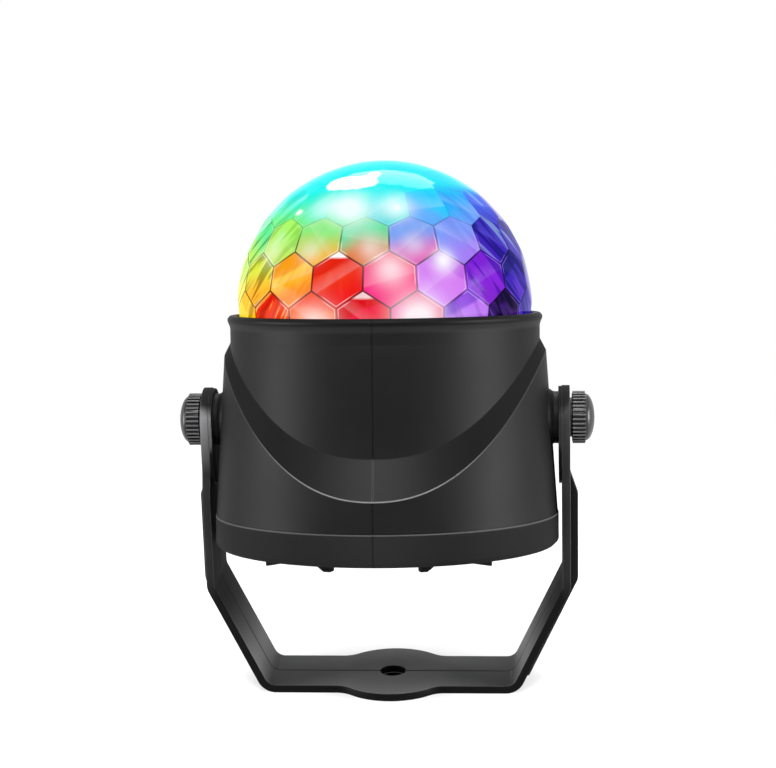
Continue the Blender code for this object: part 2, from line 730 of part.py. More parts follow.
post_places = []
for side_name, side_sign in SIDE_PARTS.items():
    shell = half_shell("housing_" + side_name, side_sign)
    boss = made_mesh(turned(shell.name + "_boss", boss_profile()))
    join(shell, boss, parent=side_axes[side_name])
    boss_bore = rod(shell.name + "_boss_bore", INSERT_RADIUS + CLEARANCE, BOSS_INNER_X - OVERRUN,
                    BOSS_OUTER_X + OVERRUN)
    cut(shell, boss_bore, parent=side_axes[side_name])
    for number, post_angle in enumerate(POST_ANGLES):
        add_screw_post(shell, side_sign, post_angle, number)
        post_places.append((side_sign * POST_CIRCLE * math.sin(post_angle),
                            -POST_CIRCLE * math.cos(post_angle)))
    jack_hole = rod(shell.name + "_jack_hole", JACK_NOSE_RADIUS + CLEARANCE, JACK_BACK_Y - OVERRUN,
                    BODY_RADIUS + OVERRUN)
    cut(shell, jack_hole, parent=head, location=(0, 0, REAR_CONTROL_HEIGHT), rotation=(-math.pi / 2, 0, 0))

button_hole = rod("button_hole", BUTTON_RADIUS + CLEARANCE, JACK_BACK_Y, BODY_RADIUS + OVERRUN)
cut(bpy.data.objects["housing_left"], button_hole, parent=button_axis)
microphone_hole = rod("microphone_hole", MICROPHONE_HOLE_RADIUS, JACK_BACK_Y, BODY_RADIUS + OVERRUN,
                      segments=12)
cut(bpy.data.objects["housing_right"], microphone_hole, parent=head,
    location=(0, 0, REAR_CONTROL_HEIGHT), rotation=(-math.pi / 2, 0, MICROPHONE_ANGLE))


# Base plate, its screws and its feet
base_plate = place(rod("base_plate", BASE_PLATE_RADIUS, CLEARANCE, BASE_PLATE_TOP, segments=48),
                   BASE_PLASTIC, head)
for number, (x, y) in enumerate(post_places):
    cut(base_plate, rod(f"base_hole_{number}", POST_BORE, -OVERRUN, BASE_PLATE_TOP + OVERRUN, segments=16),
        parent=head, location=(x, y, 0))
    head_recess = rod(f"base_head_recess_{number}", SCREW_HEAD_RADIUS + CLEARANCE, -OVERRUN,
                      SCREW_HEAD_HEIGHT + CLEARANCE, segments=20)
    cut(base_plate, head_recess, parent=head, location=(x, y, 0))
for number, post_angle in enumerate(BOARD_POST_ANGLES):
    x, y = polar(BOARD_POST_CIRCLE, post_angle)
    board_post = rod(f"board_post_{number}", BOARD_POST_RADIUS, CLEARANCE + BASE_PLATE_THICKNESS / 2,
                     CONTROL_BOARD_HEIGHT - CLEARANCE)
    join(base_plate, board_post, parent=head, location=(x, y, 0))
    board_bore = rod(f"board_bore_{number}", POST_BORE, BASE_PLATE_TOP, CONTROL_BOARD_HEIGHT, segments=12)
    cut(base_plate, board_bore, parent=head, location=(x, y, 0))
screws("base_screw", SCREW_LENGTH, [(x, y, SCREW_HEAD_HEIGHT) for x, y in post_places], head, flip=True)


def foot(name, start, end):
    """An arched foot along an arc: full height at its ends, thin in the middle."""
    shape = bmesh.new()
    rings = []
    for step in range(FOOT_STEPS + 1):
        share = step / FOOT_STEPS
        angle = start + (end - start) * share
        swell = abs(2 * share - 1) ** FOOT_SWELL_POWER
        depth = FOOT_MIDDLE_HEIGHT + (FOOT_HEIGHT - FOOT_MIDDLE_HEIGHT) * swell
        ring = []
        for radius, height in ((FOOT_INNER_RADIUS, 0), (FOOT_OUTER_RADIUS, 0),
                               (FOOT_OUTER_RADIUS, -depth), (FOOT_INNER_RADIUS, -depth)):
            ring.append(shape.verts.new((radius * math.sin(angle), -radius * math.cos(angle), height)))
        rings.append(ring)
    for ring, following in zip(rings, rings[1:]):
        for index in range(4):
            after = (index + 1) % 4
            shape.faces.new((ring[index], following[index], following[after], ring[after]))
    shape.faces.new(rings[0])
    shape.faces.new(rings[-1])
    bmesh.ops.recalc_face_normals(shape, faces=shape.faces)
    return place(mesh_object(name, shape), FOOT_RUBBER, head)


foot("foot_front_right", FOOT_START_ANGLE, FOOT_END_ANGLE)
foot("foot_front_left", -FOOT_END_ANGLE, -FOOT_START_ANGLE)
foot("foot_back_right", math.pi - FOOT_END_ANGLE, math.pi - FOOT_START_ANGLE)
foot("foot_back_left", math.pi + FOOT_START_ANGLE, math.pi + FOOT_END_ANGLE)


# Bracket
def strap_corners():
    """Corners of the strap's middle line, from the centre of the foot to the ear."""
    half = STRAP_THICKNESS / 2
    foot_corner = Vector((BRACKET_FOOT_SPAN / 2, 0))
    knee_corner = Vector((ARM_OUTER_X, PIVOT_WORLD_HEIGHT - KNEE_DROP))
    slope = (knee_corner - foot_corner).normalized()
    inward = perpendicular(slope) * half
    low_point = foot_corner + inward
    run_to_foot = (half - low_point.y) / slope.y
    run_to_knee = (ARM_OUTER_X - half - low_point.x) / slope.x
    return [(0, half), low_point + slope * run_to_foot, low_point + slope * run_to_knee,
            (ARM_OUTER_X - half, PIVOT_WORLD_HEIGHT)]


def foot_disc_stations():
    """Distances from the centre and half widths where the foot widens to its disc."""
    fillet_x = math.sqrt((FOOT_DISC_RADIUS + FOOT_DISC_FILLET) ** 2
                         - (STRAP_HALF_WIDTH + FOOT_DISC_FILLET) ** 2)
    meeting = math.atan2(fillet_x, STRAP_HALF_WIDTH + FOOT_DISC_FILLET)
    stations = []
    for step in range(FOOT_DISC_STEPS + 1):
        angle = meeting * step / FOOT_DISC_STEPS
        stations.append((FOOT_DISC_RADIUS * math.sin(angle), FOOT_DISC_RADIUS * math.cos(angle)))
    for step in range(1, FLARE_STEPS + 1):
        angle = meeting * (1 - step / FLARE_STEPS)
        stations.append((fillet_x - FOOT_DISC_FILLET * math.sin(angle),
                         STRAP_HALF_WIDTH + FOOT_DISC_FILLET * (1 - math.cos(angle))))
    return stations


def ear_stations():
    """Heights and half widths from the flare of the arm to the round top of its ear."""
    stations = []
    flare_bottom = PIVOT_WORLD_HEIGHT - EAR_STRAIGHT - EAR_FLARE
    for step in range(FLARE_STEPS + 1):
        share = step / FLARE_STEPS
        ease = (1 - math.cos(math.pi * share)) / 2
        stations.append((flare_bottom + EAR_FLARE * share,
                         STRAP_HALF_WIDTH + (EAR_RADIUS - STRAP_HALF_WIDTH) * ease))
    for step in range(EAR_STEPS + 1):
        angle = math.pi / 2 * EAR_TIP_SHARE * step / EAR_STEPS
        stations.append((PIVOT_WORLD_HEIGHT + EAR_RADIUS * math.sin(angle),
                         EAR_RADIUS * math.cos(angle)))
    return stations


def strap_stations():
    """Middle point, direction and half width at each section of half the strap."""
    half = STRAP_THICKNESS / 2
    flat = Vector((1, 0))
    upright = Vector((0, 1))
    stations = [(Vector((x, half)), flat, width) for x, width in foot_disc_stations()]
    bends = rounded_path(strap_corners(), BEND_RADIUS, BEND_STEPS)[1:-1]
    stations += [(point, direction, STRAP_HALF_WIDTH) for point, direction in bends]
    arm_x = ARM_OUTER_X - half
    stations += [(Vector((arm_x, height)), upright, width) for height, width in ear_stations()]
    return stations


def half_strap(name):
    """The right half of the bent strap, open at the middle for its mirror."""
    shape = bmesh.new()
    rings = []
    for point, direction, width in strap_stations():
        inward = perpendicular(direction) * (STRAP_THICKNESS / 2)
        inner = point + inward
        outer = point - inward
        ring = []
        for spot, side in ((outer, -width), (outer, width), (inner, width), (inner, -width)):
            ring.append(shape.verts.new((spot.x, side, spot.y)))
        rings.append(ring)
    for ring, following in zip(rings, rings[1:]):
        for index in range(4):
            after = (index + 1) % 4
            shape.faces.new((ring[index], following[index], following[after], ring[after]))
    shape.faces.new(rings[-1])
    bmesh.ops.recalc_face_normals(shape, faces=shape.faces)
    return mesh_object(name, shape)


def mirror_sides(item):
    """Copy a right-hand piece to the left."""
    mirror = item.modifiers.new("both_sides", "MIRROR")
    mirror.merge_threshold = MODIFIER_MERGE
    return item


def rib_outline():
    """The stiffening rib on the outside of the arm, seen from the front."""
    half = STRAP_THICKNESS / 2
    centre_line = strap_corners()
    foot_corner = Vector(centre_line[1])
    knee_corner = Vector(centre_line[2])
    slope = (knee_corner - foot_corner).normalized()
    outward = -perpendicular(slope)
    rib_x = ARM_OUTER_X + RIB_HEIGHT
    on_diagonal = foot_corner + outward * (half + RIB_HEIGHT)
    knee_run = (rib_x - on_diagonal.x) / slope.x
    end_run = (RIB_END_HEIGHT - on_diagonal.y) / slope.y
    root_line = foot_corner + outward * (half - RIB_ROOT)
    root_knee_run = (ARM_OUTER_X - RIB_ROOT - root_line.x) / slope.x
    root_end_run = (RIB_END_HEIGHT + RIB_HEIGHT - root_line.y) / slope.y
    return [
        Vector((ARM_OUTER_X - RIB_ROOT, PIVOT_WORLD_HEIGHT - RIB_START_DROP)),
        Vector((ARM_OUTER_X, PIVOT_WORLD_HEIGHT - RIB_START_DROP)),
        Vector((rib_x, PIVOT_WORLD_HEIGHT - RIB_FULL_DROP)),
        on_diagonal + slope * knee_run,
        on_diagonal + slope * end_run,
        root_line + slope * root_end_run,
        root_line + slope * root_knee_run,
    ]


def pad_outline():
    """The raised pad inside the ear, seen from the side: two half circles and their sides."""
    points = []
    for index in range(EAR_STEPS + 1):
        points.append(polar(PAD_RADIUS, math.pi * index / EAR_STEPS))
    for index in range(EAR_STEPS + 1):
        x, y = polar(PAD_RADIUS, math.pi * (1 + index / EAR_STEPS))
        points.append((x, y - PAD_DROP))
    return points


bracket = place(mirror_sides(half_strap("bracket")), BRACKET_PAINT, None, (0, PIVOT_Y, 0))
rib = mirror_sides(slab("bracket_rib", [rib_outline()], -RIB_WIDTH / 2, RIB_WIDTH / 2))
for vertex in rib.data.vertices:
    vertex.co = (vertex.co.x, -vertex.co.z, vertex.co.y)
join(bracket, rib, location=(0, PIVOT_Y, 0))
pad = mirror_sides(slab("bracket_pad", [pad_outline()], ARM_INNER_X - PAD_THICKNESS,
                        ARM_INNER_X + STRAP_THICKNESS / 2))
for vertex in pad.data.vertices:
    vertex.co = (vertex.co.z, vertex.co.x, vertex.co.y)
join(bracket, pad, location=(0, PIVOT_Y, PIVOT_WORLD_HEIGHT))
ear_hole = rod("bracket_ear_hole", EAR_HOLE_RADIUS, -ARM_OUTER_X - OVERRUN, ARM_OUTER_X + OVERRUN)
cut(bracket, ear_hole, location=(0, PIVOT_Y, PIVOT_WORLD_HEIGHT), rotation=(0, math.pi / 2, 0))
foot_hole = rod("bracket_foot_hole", FOOT_HOLE_RADIUS, -OVERRUN, STRAP_THICKNESS + OVERRUN, segments=32)
cut(bracket, foot_hole, location=(0, PIVOT_Y, 0))


# Tilt pivots and thumb screws
KNOB_START = ARM_OUTER_X + CLEARANCE
KNOB_RING_START = KNOB_START + KNOB_NECK_LENGTH
KNOB_RING_END = KNOB_RING_START + KNOB_RING_LENGTH
KNOB_CAP_END = KNOB_RING_END + KNOB_CAP_EDGE
WASHER_RECESS = SPRING_WASHER_THICKNESS + CLEARANCE
STUD_BORE = STUD_RADIUS + CLEARANCE


def insert_profile():
    """A threaded brass bush, as a closed section."""
    outer_end = BOSS_OUTER_X - CLEARANCE
    inner_end = outer_end - INSERT_LENGTH
    return [(INSERT_RADIUS, outer_end), (INSERT_RADIUS, inner_end), (STUD_BORE, inner_end),
            (STUD_BORE, outer_end)]


def knob_profile():
    """The knob's turned core: crowned cap, neck, washer recess and stud bore."""
    points = []
    for step in range(CROWN_STEPS + 1):
        angle = math.pi / 2 * step / CROWN_STEPS
        points.append((KNOB_CAP_RADIUS * math.sin(angle), KNOB_CAP_END + KNOB_CAP_CROWN * math.cos(angle)))
    middle = (KNOB_RING_START + KNOB_RING_END) / 2
    recess_radius_here = SPRING_WASHER_RADIUS + CLEARANCE
    return points + [
        (KNOB_CAP_RADIUS, middle),
        (KNOB_NECK_RADIUS, middle),
        (KNOB_NECK_RADIUS, KNOB_START),
        (recess_radius_here, KNOB_START),
        (recess_radius_here, KNOB_START + WASHER_RECESS),
        (STUD_BORE, KNOB_START + WASHER_RECESS),
        (STUD_BORE, KNOB_START + KNOB_BORE_DEPTH),
        (0, KNOB_START + KNOB_BORE_DEPTH),
    ]


def knob_ridges():
    """The grip ring's outline, a peak and a valley for each ridge."""
    points = []
    for index in range(2 * KNOB_RIDGES):
        radius = KNOB_RADIUS - KNOB_RIDGE_DEPTH * (index % 2)
        points.append(polar(radius, math.pi * index / KNOB_RIDGES))
    return points


for side_name, axis in side_axes.items():
    place(turned("pivot_insert_" + side_name, insert_profile(), segments=16, closed=True), BRASS, axis)
    stud_end = KNOB_START + KNOB_BORE_DEPTH - CLEARANCE
    place(rod("stud_" + side_name, STUD_RADIUS, STUD_INNER_X, stud_end, segments=20), STEEL, axis)
    washer_top = KNOB_START + SPRING_WASHER_THICKNESS
    washer_section = [(SPRING_WASHER_RADIUS, washer_top), (SPRING_WASHER_RADIUS, KNOB_START),
                      (STUD_BORE, KNOB_START), (STUD_BORE, washer_top)]
    place(turned("spring_washer_" + side_name, washer_section, segments=16, closed=True), STEEL, axis)
    knob = place(made_mesh(turned("knob_" + side_name, knob_profile(), segments=20)), KNOB_PLASTIC, axis)
    ring_bore = (SPRING_WASHER_RADIUS + CLEARANCE + KNOB_NECK_RADIUS) / 2
    ring = slab("knob_ring_" + side_name, [knob_ridges(), circle(ring_bore, 16)], KNOB_RING_START,
                KNOB_RING_END)
    join(knob, ring, parent=axis)


# Dome
def facet_directions():
    """Latitude and longitude of each flat face, row by row up to the crown."""
    directions = []
    pitch = math.tau / ROW_FACETS
    for row, latitude in enumerate(ROW_LATITUDES):
        offset = ROW_TURN - pitch / 2 * (row % 2)
        for index in range(ROW_FACETS):
            directions.append((latitude, offset + pitch * index))
    for latitude, count in CROWN_ROWS:
        for index in range(count):
            directions.append((latitude, ROW_TURN + math.tau * (index + 0.5) / count))
    directions.append((math.pi / 2, 0))
    return directions


def facet_normal(latitude, longitude):
    """The longitude is counted from the front towards the right."""
    return Vector((math.cos(latitude) * math.sin(longitude), -math.cos(latitude) * math.cos(longitude),
                   math.sin(latitude)))


def slice_off(shape, point, normal):
    """Cut a closed block by a plane, drop what lies outside it and close the cut."""
    everything = shape.verts[:] + shape.edges[:] + shape.faces[:]
    bmesh.ops.bisect_plane(shape, geom=everything, plane_co=point, plane_no=normal, clear_outer=True)
    open_edges = [edge for edge in shape.edges if edge.is_boundary]
    bmesh.ops.holes_fill(shape, edges=open_edges)


def crystal_block(name):
    """A solid block cut by every facet's plane and by the plane of the rim."""
    shape = bmesh.new()
    bmesh.ops.create_cube(shape, size=DOME_FACET_RADIUS * 3)
    for latitude, longitude in facet_directions():
        normal = facet_normal(latitude, longitude)
        slice_off(shape, normal * DOME_FACET_RADIUS, normal)
    slice_off(shape, (0, 0, -DOME_RIM_DROP), (0, 0, -1))
    bmesh.ops.remove_doubles(shape, verts=shape.verts, dist=MERGE_DISTANCE)
    bmesh.ops.recalc_face_normals(shape, faces=shape.faces)
    return mesh_object(name, shape)


def ball(name, radius, around, along):
    """A round cutter for a hollow."""
    shape = bmesh.new()
    bmesh.ops.create_uvsphere(shape, u_segments=around, v_segments=along, radius=radius)
    return mesh_object(name, shape)


dome = place(crystal_block("crystal_dome"), CRYSTAL, dome_axis)
cut(dome, ball("dome_hollow", DOME_HOLLOW_RADIUS, DOME_ROUND_SEGMENTS // 2, DOME_ROUND_SEGMENTS // 4),
    parent=dome_axis)


# Dome carrier: a rim under the dome, three spokes and a hub on the output shaft
def carrier_rim_section():
    spigot_top = CARRIER_TOP + CARRIER_SPIGOT_HEIGHT
    return [(CARRIER_SPIGOT_RADIUS, spigot_top), (CARRIER_SPIGOT_RADIUS, CARRIER_TOP),
            (CARRIER_RIM_RADIUS, CARRIER_TOP), (CARRIER_RIM_RADIUS, CARRIER_BOTTOM),
            (CARRIER_INNER_RADIUS, CARRIER_BOTTOM), (CARRIER_INNER_RADIUS, spigot_top)]


to_head = (0, 0, -DOME_CENTRE)
carrier_rim = made_mesh(turned("dome_carrier", carrier_rim_section(), segments=DOME_ROUND_SEGMENTS,
                               closed=True))
carrier = place(carrier_rim, CARRIER_PLASTIC, dome_axis, to_head)
join(carrier, rod("carrier_hub", HUB_RADIUS, HUB_BOTTOM, CARRIER_TOP), parent=dome_axis, location=to_head)
for number in range(SPOKE_COUNT):
    spoke = box(f"carrier_spoke_{number}",
                (HUB_RADIUS / 2, -SPOKE_WIDTH / 2, CARRIER_BOTTOM + CLEARANCE),
                ((CARRIER_INNER_RADIUS + CARRIER_SPIGOT_RADIUS) / 2, SPOKE_WIDTH / 2,
                 CARRIER_TOP - CLEARANCE / 2))
    join(carrier, spoke, parent=dome_axis, location=to_head,
         rotation=(0, 0, math.tau * number / SPOKE_COUNT + math.pi / 2))
hub_bore = rod("carrier_hub_bore", OUTPUT_SHAFT_RADIUS + CLEARANCE, HUB_BOTTOM - OVERRUN,
               CARRIER_TOP + OVERRUN)
cut(carrier, hub_bore, parent=dome_axis, location=to_head)
screws("carrier_screw", CARRIER_SCREW_LENGTH, [(0, 0, CARRIER_TOP + CLEARANCE - DOME_CENTRE)], dome_axis,
       head_radius=CARRIER_SCREW_HEAD_RADIUS)

output_shaft = place(rod("output_shaft", OUTPUT_SHAFT_RADIUS, OUTPUT_LEVEL, CARRIER_TOP - CLEARANCE,
                         segments=20), STEEL, dome_axis, to_head)
shaft_tap = rod("output_shaft_tap", POST_BORE, CARRIER_TOP - CARRIER_SCREW_LENGTH - OVERRUN,
                CARRIER_TOP + OVERRUN, segments=12)
cut(output_shaft, shaft_tap, parent=dome_axis, location=to_head)


# Gears
def involute(angle):
    return math.tan(angle) - angle


def tooth_half_angle(teeth, radius):
    """Half of the angle that a tooth takes at a radius, thinned for backlash."""
    pitch = GEAR_MODULE * teeth / 2
    base = pitch * math.cos(PRESSURE_ANGLE)
    thickness = math.pi * GEAR_MODULE / 2 - GEAR_BACKLASH / 2
    reach = max(radius, base)
    return thickness / (2 * pitch) + involute(PRESSURE_ANGLE) - involute(math.acos(base / reach))


def gear_outline(teeth, addendum_share, phase):
    """An involute gear's outline, with one tooth centred on the phase angle."""
    pitch = GEAR_MODULE * teeth / 2
    base = pitch * math.cos(PRESSURE_ANGLE)
    root = pitch - GEAR_MODULE * DEDENDUM_SHARE
    tip = pitch + GEAR_MODULE * addendum_share
    radii = [root, (max(root, base) + pitch) / 2, tip]
    if base - root > GEAR_MODULE / 4:
        radii.insert(1, base)
    points = []
    for tooth in range(teeth):
        middle = phase + math.tau * tooth / teeth
        for radius in radii:
            points.append(polar(radius, middle - tooth_half_angle(teeth, radius)))
        for radius in reversed(radii):
            points.append(polar(radius, middle + tooth_half_angle(teeth, radius)))
    return points


def meshing_phase(direction, driver_phase, driver_teeth, teeth):
    """The tooth angle of a gear that meshes with its driver, seen from it in a direction."""
    turned_by = (driver_phase - direction) * driver_teeth / teeth
    return direction + math.pi - turned_by - math.pi / teeth


towards_idler = math.pi / 2
towards_output = -math.pi / 2
idler_phase = meshing_phase(towards_idler, towards_idler, PINION_TEETH, WHEEL_TEETH)
output_phase = meshing_phase(towards_output, towards_output, PINION_TEETH, WHEEL_TEETH)

output_outlines = [gear_outline(WHEEL_TEETH, WHEEL_ADDENDUM_SHARE, output_phase),
                   circle(OUTPUT_SHAFT_RADIUS + CLEARANCE, 20)]
pinion_outlines = [gear_outline(PINION_TEETH, PINION_ADDENDUM_SHARE, towards_idler),
                   circle(MOTOR_SHAFT_RADIUS + CLEARANCE, 16)]
place(slab("output_gear", output_outlines, OUTPUT_LEVEL, OUTPUT_TOP), GEAR_PLASTIC, dome_axis, to_head)
place(slab("motor_pinion", pinion_outlines, WHEEL_LEVEL, WHEEL_TOP), BRASS, dome_axis, to_head)
idler_gear = place(slab("idler_gear", [gear_outline(WHEEL_TEETH, WHEEL_ADDENDUM_SHARE, idler_phase)],
                        WHEEL_LEVEL, WHEEL_TOP), GEAR_PLASTIC, idler_axis)
idler_pinion = slab("idler_pinion", [gear_outline(PINION_TEETH, PINION_ADDENDUM_SHARE, towards_output)],
                    WHEEL_TOP - CLEARANCE, OUTPUT_TOP + CLEARANCE)
join(idler_gear, idler_pinion, parent=idler_axis)
idler_bore = rod("idler_bore", IDLER_AXLE_RADIUS + CLEARANCE, WHEEL_LEVEL - OVERRUN,
                 OUTPUT_TOP + OVERRUN, segments=16)
cut(idler_gear, idler_bore, parent=idler_axis)
place(rod("idler_axle", IDLER_AXLE_RADIUS, CASE_BOTTOM + CLEARANCE, COVER_TOP - CLEARANCE, segments=16),
      STEEL, idler_axis)


# Motor
def motor_profile():
    return [(0, MOTOR_TOP), (MOTOR_RADIUS - MOTOR_EDGE, MOTOR_TOP), (MOTOR_RADIUS, MOTOR_TOP - MOTOR_EDGE),
            (MOTOR_RADIUS, MOTOR_BOTTOM + MOTOR_EDGE), (MOTOR_RADIUS - MOTOR_EDGE, MOTOR_BOTTOM),
            (0, MOTOR_BOTTOM)]


motor = place(made_mesh(turned("motor_can", motor_profile(), segments=30)), STEEL, head)
shaft_seat = rod("motor_shaft_seat", MOTOR_SHAFT_RADIUS + CLEARANCE, MOTOR_TOP - MOTOR_SHAFT_SEAT,
                 MOTOR_TOP + OVERRUN, segments=16)
cut(motor, shaft_seat, parent=head)
place(rod("motor_shaft", MOTOR_SHAFT_RADIUS, MOTOR_TOP - MOTOR_SHAFT_SEAT + CLEARANCE, WHEEL_TOP,
          segments=16), STEEL, dome_axis, to_head)


# Gear case, its cover, bush and screws
def rounded_rectangle(low, high, radius, steps=4):
    """The outline of a rectangle with round corners."""
    points = []
    centres = [(high[0] - radius, high[1] - radius), (low[0] + radius, high[1] - radius),
               (low[0] + radius, low[1] + radius), (high[0] - radius, low[1] + radius)]
    for corner, centre in enumerate(centres):
        for step in range(steps + 1):
            x, y = polar(radius, math.pi / 2 * (corner + step / steps))
            points.append((centre[0] + x, centre[1] + y))
    return points


case_low = (-CASE_HALF_WIDTH, -CASE_HALF_WIDTH)
case_high = (CASE_HALF_WIDTH, CASE_BACK_Y)
case_outline = rounded_rectangle(case_low, case_high, CASE_CORNER_RADIUS)
cavity_outline = rounded_rectangle([edge + CASE_WALL for edge in case_low],
                                   [edge - CASE_WALL for edge in case_high],
                                   CASE_CORNER_RADIUS - CASE_WALL)
case_screw_places = [
    (case_low[0] + CASE_SCREW_INSET, case_low[1] + CASE_SCREW_INSET),
    (case_high[0] - CASE_SCREW_INSET, case_high[1] - CASE_SCREW_INSET),
]

gear_case = place(slab("gear_case", [case_outline], CASE_BOTTOM, CASE_TOP), CASE_PLASTIC, head)
cut(gear_case, slab("gear_case_cavity", [cavity_outline], CASE_BOTTOM + CASE_FLOOR, CASE_TOP + OVERRUN),
    parent=head)
gear_cover = place(slab("gear_cover", [case_outline], COVER_BOTTOM, COVER_TOP), CASE_PLASTIC, head)
for number, (x, y) in enumerate(case_screw_places):
    post = rod(f"gear_case_post_{number}", CASE_SCREW_POST, CASE_BOTTOM + CASE_FLOOR / 2,
               CASE_TOP - CLEARANCE / 2, segments=16)
    join(gear_case, post, parent=head, location=(x, y, 0))
    for target, bottom, top in ((gear_case, CASE_BOTTOM, CASE_TOP), (gear_cover, COVER_BOTTOM, COVER_TOP)):
        bore = rod(f"{target.name}_bore_{number}", CASE_SCREW_BORE, bottom - OVERRUN, top + OVERRUN,
                   segments=12)
        cut(target, bore, parent=head, location=(x, y, 0))
shaft_hole = rod("motor_shaft_hole", MOTOR_SHAFT_RADIUS + 2 * CLEARANCE, CASE_BOTTOM - OVERRUN,
                 CASE_BOTTOM + CASE_FLOOR + OVERRUN, segments=16)
cut(gear_case, shaft_hole, parent=head)
for target, bottom, top in ((gear_case, CASE_BOTTOM, CASE_TOP), (gear_cover, COVER_BOTTOM, COVER_TOP)):
    axle_hole = rod(target.name + "_axle_hole", IDLER_AXLE_RADIUS + CLEARANCE, bottom - OVERRUN,
                    top + OVERRUN, segments=16)
    cut(target, axle_hole, parent=idler_axis)
cut(gear_cover, rod("shaft_bush_hole", BUSH_RADIUS + CLEARANCE, COVER_BOTTOM - OVERRUN,
                    COVER_TOP + OVERRUN), parent=head)

flange_top = COVER_BOTTOM - CLEARANCE
flange_bottom = flange_top - BUSH_FLANGE
bush_bore = OUTPUT_SHAFT_RADIUS + CLEARANCE
bush_section = [(BUSH_RADIUS, COVER_TOP), (BUSH_RADIUS, flange_top), (BUSH_FLANGE_RADIUS, flange_top),
                (BUSH_FLANGE_RADIUS, flange_bottom), (bush_bore, flange_bottom), (bush_bore, COVER_TOP)]
place(turned("shaft_bush", bush_section, segments=16, closed=True), BRASS, head)
case_screw_seat = CASE_BOTTOM - CLEARANCE
case_screw_length = DECK_HEIGHT + DECK_TAP_DEPTH - CLEARANCE - case_screw_seat
screws("gear_case_screw", case_screw_length, [(x, y, case_screw_seat) for x, y in case_screw_places], head,
       flip=True, radius=CASE_SCREW_RADIUS)


# Light deck, its board, the lamps and their lenses
deck = place(rod("heat_deck", DECK_RADIUS, DECK_HEIGHT, DECK_TOP, segments=48), ALUMINIUM, head)
cut(deck, rod("deck_shaft_hole", BUSH_RADIUS, DECK_HEIGHT - OVERRUN, DECK_TOP + OVERRUN), parent=head)
for number, (x, y) in enumerate(post_places):
    cut(deck, rod(f"deck_hole_{number}", POST_BORE, DECK_HEIGHT - OVERRUN, DECK_TOP + OVERRUN, segments=12),
        parent=head, location=(x, y, 0))
for number, (x, y) in enumerate(case_screw_places):
    cut(deck, rod(f"deck_case_tap_{number}", CASE_SCREW_BORE, DECK_HEIGHT - OVERRUN,
                  DECK_HEIGHT + DECK_TAP_DEPTH, segments=12), parent=head, location=(x, y, 0))
cut(deck, rod("deck_harness_hole", HARNESS_HOLE_RADIUS, DECK_HEIGHT - OVERRUN, DECK_TOP + OVERRUN,
              segments=16, centre=(0, -HARNESS_CIRCLE)), parent=head)
screws("deck_screw", SCREW_LENGTH, [(x, y, DECK_TOP + CLEARANCE) for x, y in post_places], head)

led_board = place(rod("led_board", LED_BOARD_RADIUS, LED_BOARD_HEIGHT, LED_BOARD_HEIGHT + BOARD_THICKNESS,
                      segments=48), BOARD_WHITE, head)
cut(led_board, rod("led_board_centre", LED_BOARD_HOLE_RADIUS, LED_BOARD_HEIGHT - OVERRUN,
                   LED_BOARD_HEIGHT + BOARD_THICKNESS + OVERRUN), parent=head)


def lens_profile():
    """A collimating lens: a low straight rim under a round crown."""
    points = []
    crown = LENS_HEIGHT - LENS_RIM
    for step in range(CROWN_STEPS + 1):
        angle = math.pi / 2 * step / CROWN_STEPS
        points.append((LENS_RADIUS * math.sin(angle), LENS_RIM + crown * math.cos(angle)))
    return points + [(LENS_RADIUS, 0), (0, 0)]


for number, colour_name in enumerate(LED_COLOURS):
    x, y = polar(LED_CIRCLE, math.tau * (number + 0.5) / len(LED_COLOURS))
    place(rod("led_" + colour_name, LED_RADIUS, 0, LED_HEIGHT, segments=16), LED_FINISHES[colour_name],
          head, (x, y, LED_BASE))
    place(made_mesh(turned("led_lens_" + colour_name, lens_profile(), segments=16)), LENS_CLEAR,
          head, (x, y, LENS_BASE))


# Control board and what it carries
control_board = place(rod("control_board", CONTROL_BOARD_RADIUS, CONTROL_BOARD_HEIGHT, CONTROL_BOARD_TOP,
                          segments=48), BOARD_GREEN, head)
board_screw_places = []
for number, post_angle in enumerate(BOARD_POST_ANGLES):
    x, y = polar(BOARD_POST_CIRCLE, post_angle)
    board_screw_places.append((x, y, ON_BOARD))
    cut(control_board, rod(f"control_board_hole_{number}", POST_BORE, CONTROL_BOARD_HEIGHT - OVERRUN,
                           ON_BOARD + OVERRUN, segments=12), parent=head, location=(x, y, 0))
screws("board_screw", BOARD_SCREW_LENGTH, board_screw_places, head)
place(box("control_chip", (-CHIP_SIZE / 2, -CHIP_SIZE / 2, 0), (CHIP_SIZE / 2, CHIP_SIZE / 2, CHIP_HEIGHT)),
      CHIP_BLACK, head, (*CHIP_PLACE, ON_BOARD))
place(rod("capacitor", CAPACITOR_RADIUS, 0, CAPACITOR_HEIGHT), CAPACITOR_SLEEVE, head,
      (*CAPACITOR_PLACE, ON_BOARD))
microphone_frame = empty("microphone_frame", head, (0, 0, 0), (0, 0, MICROPHONE_ANGLE))
place(rod("microphone", MICROPHONE_RADIUS, 0, MICROPHONE_HEIGHT, segments=20), ALUMINIUM,
      microphone_frame, (0, MICROPHONE_CIRCLE, ON_BOARD))

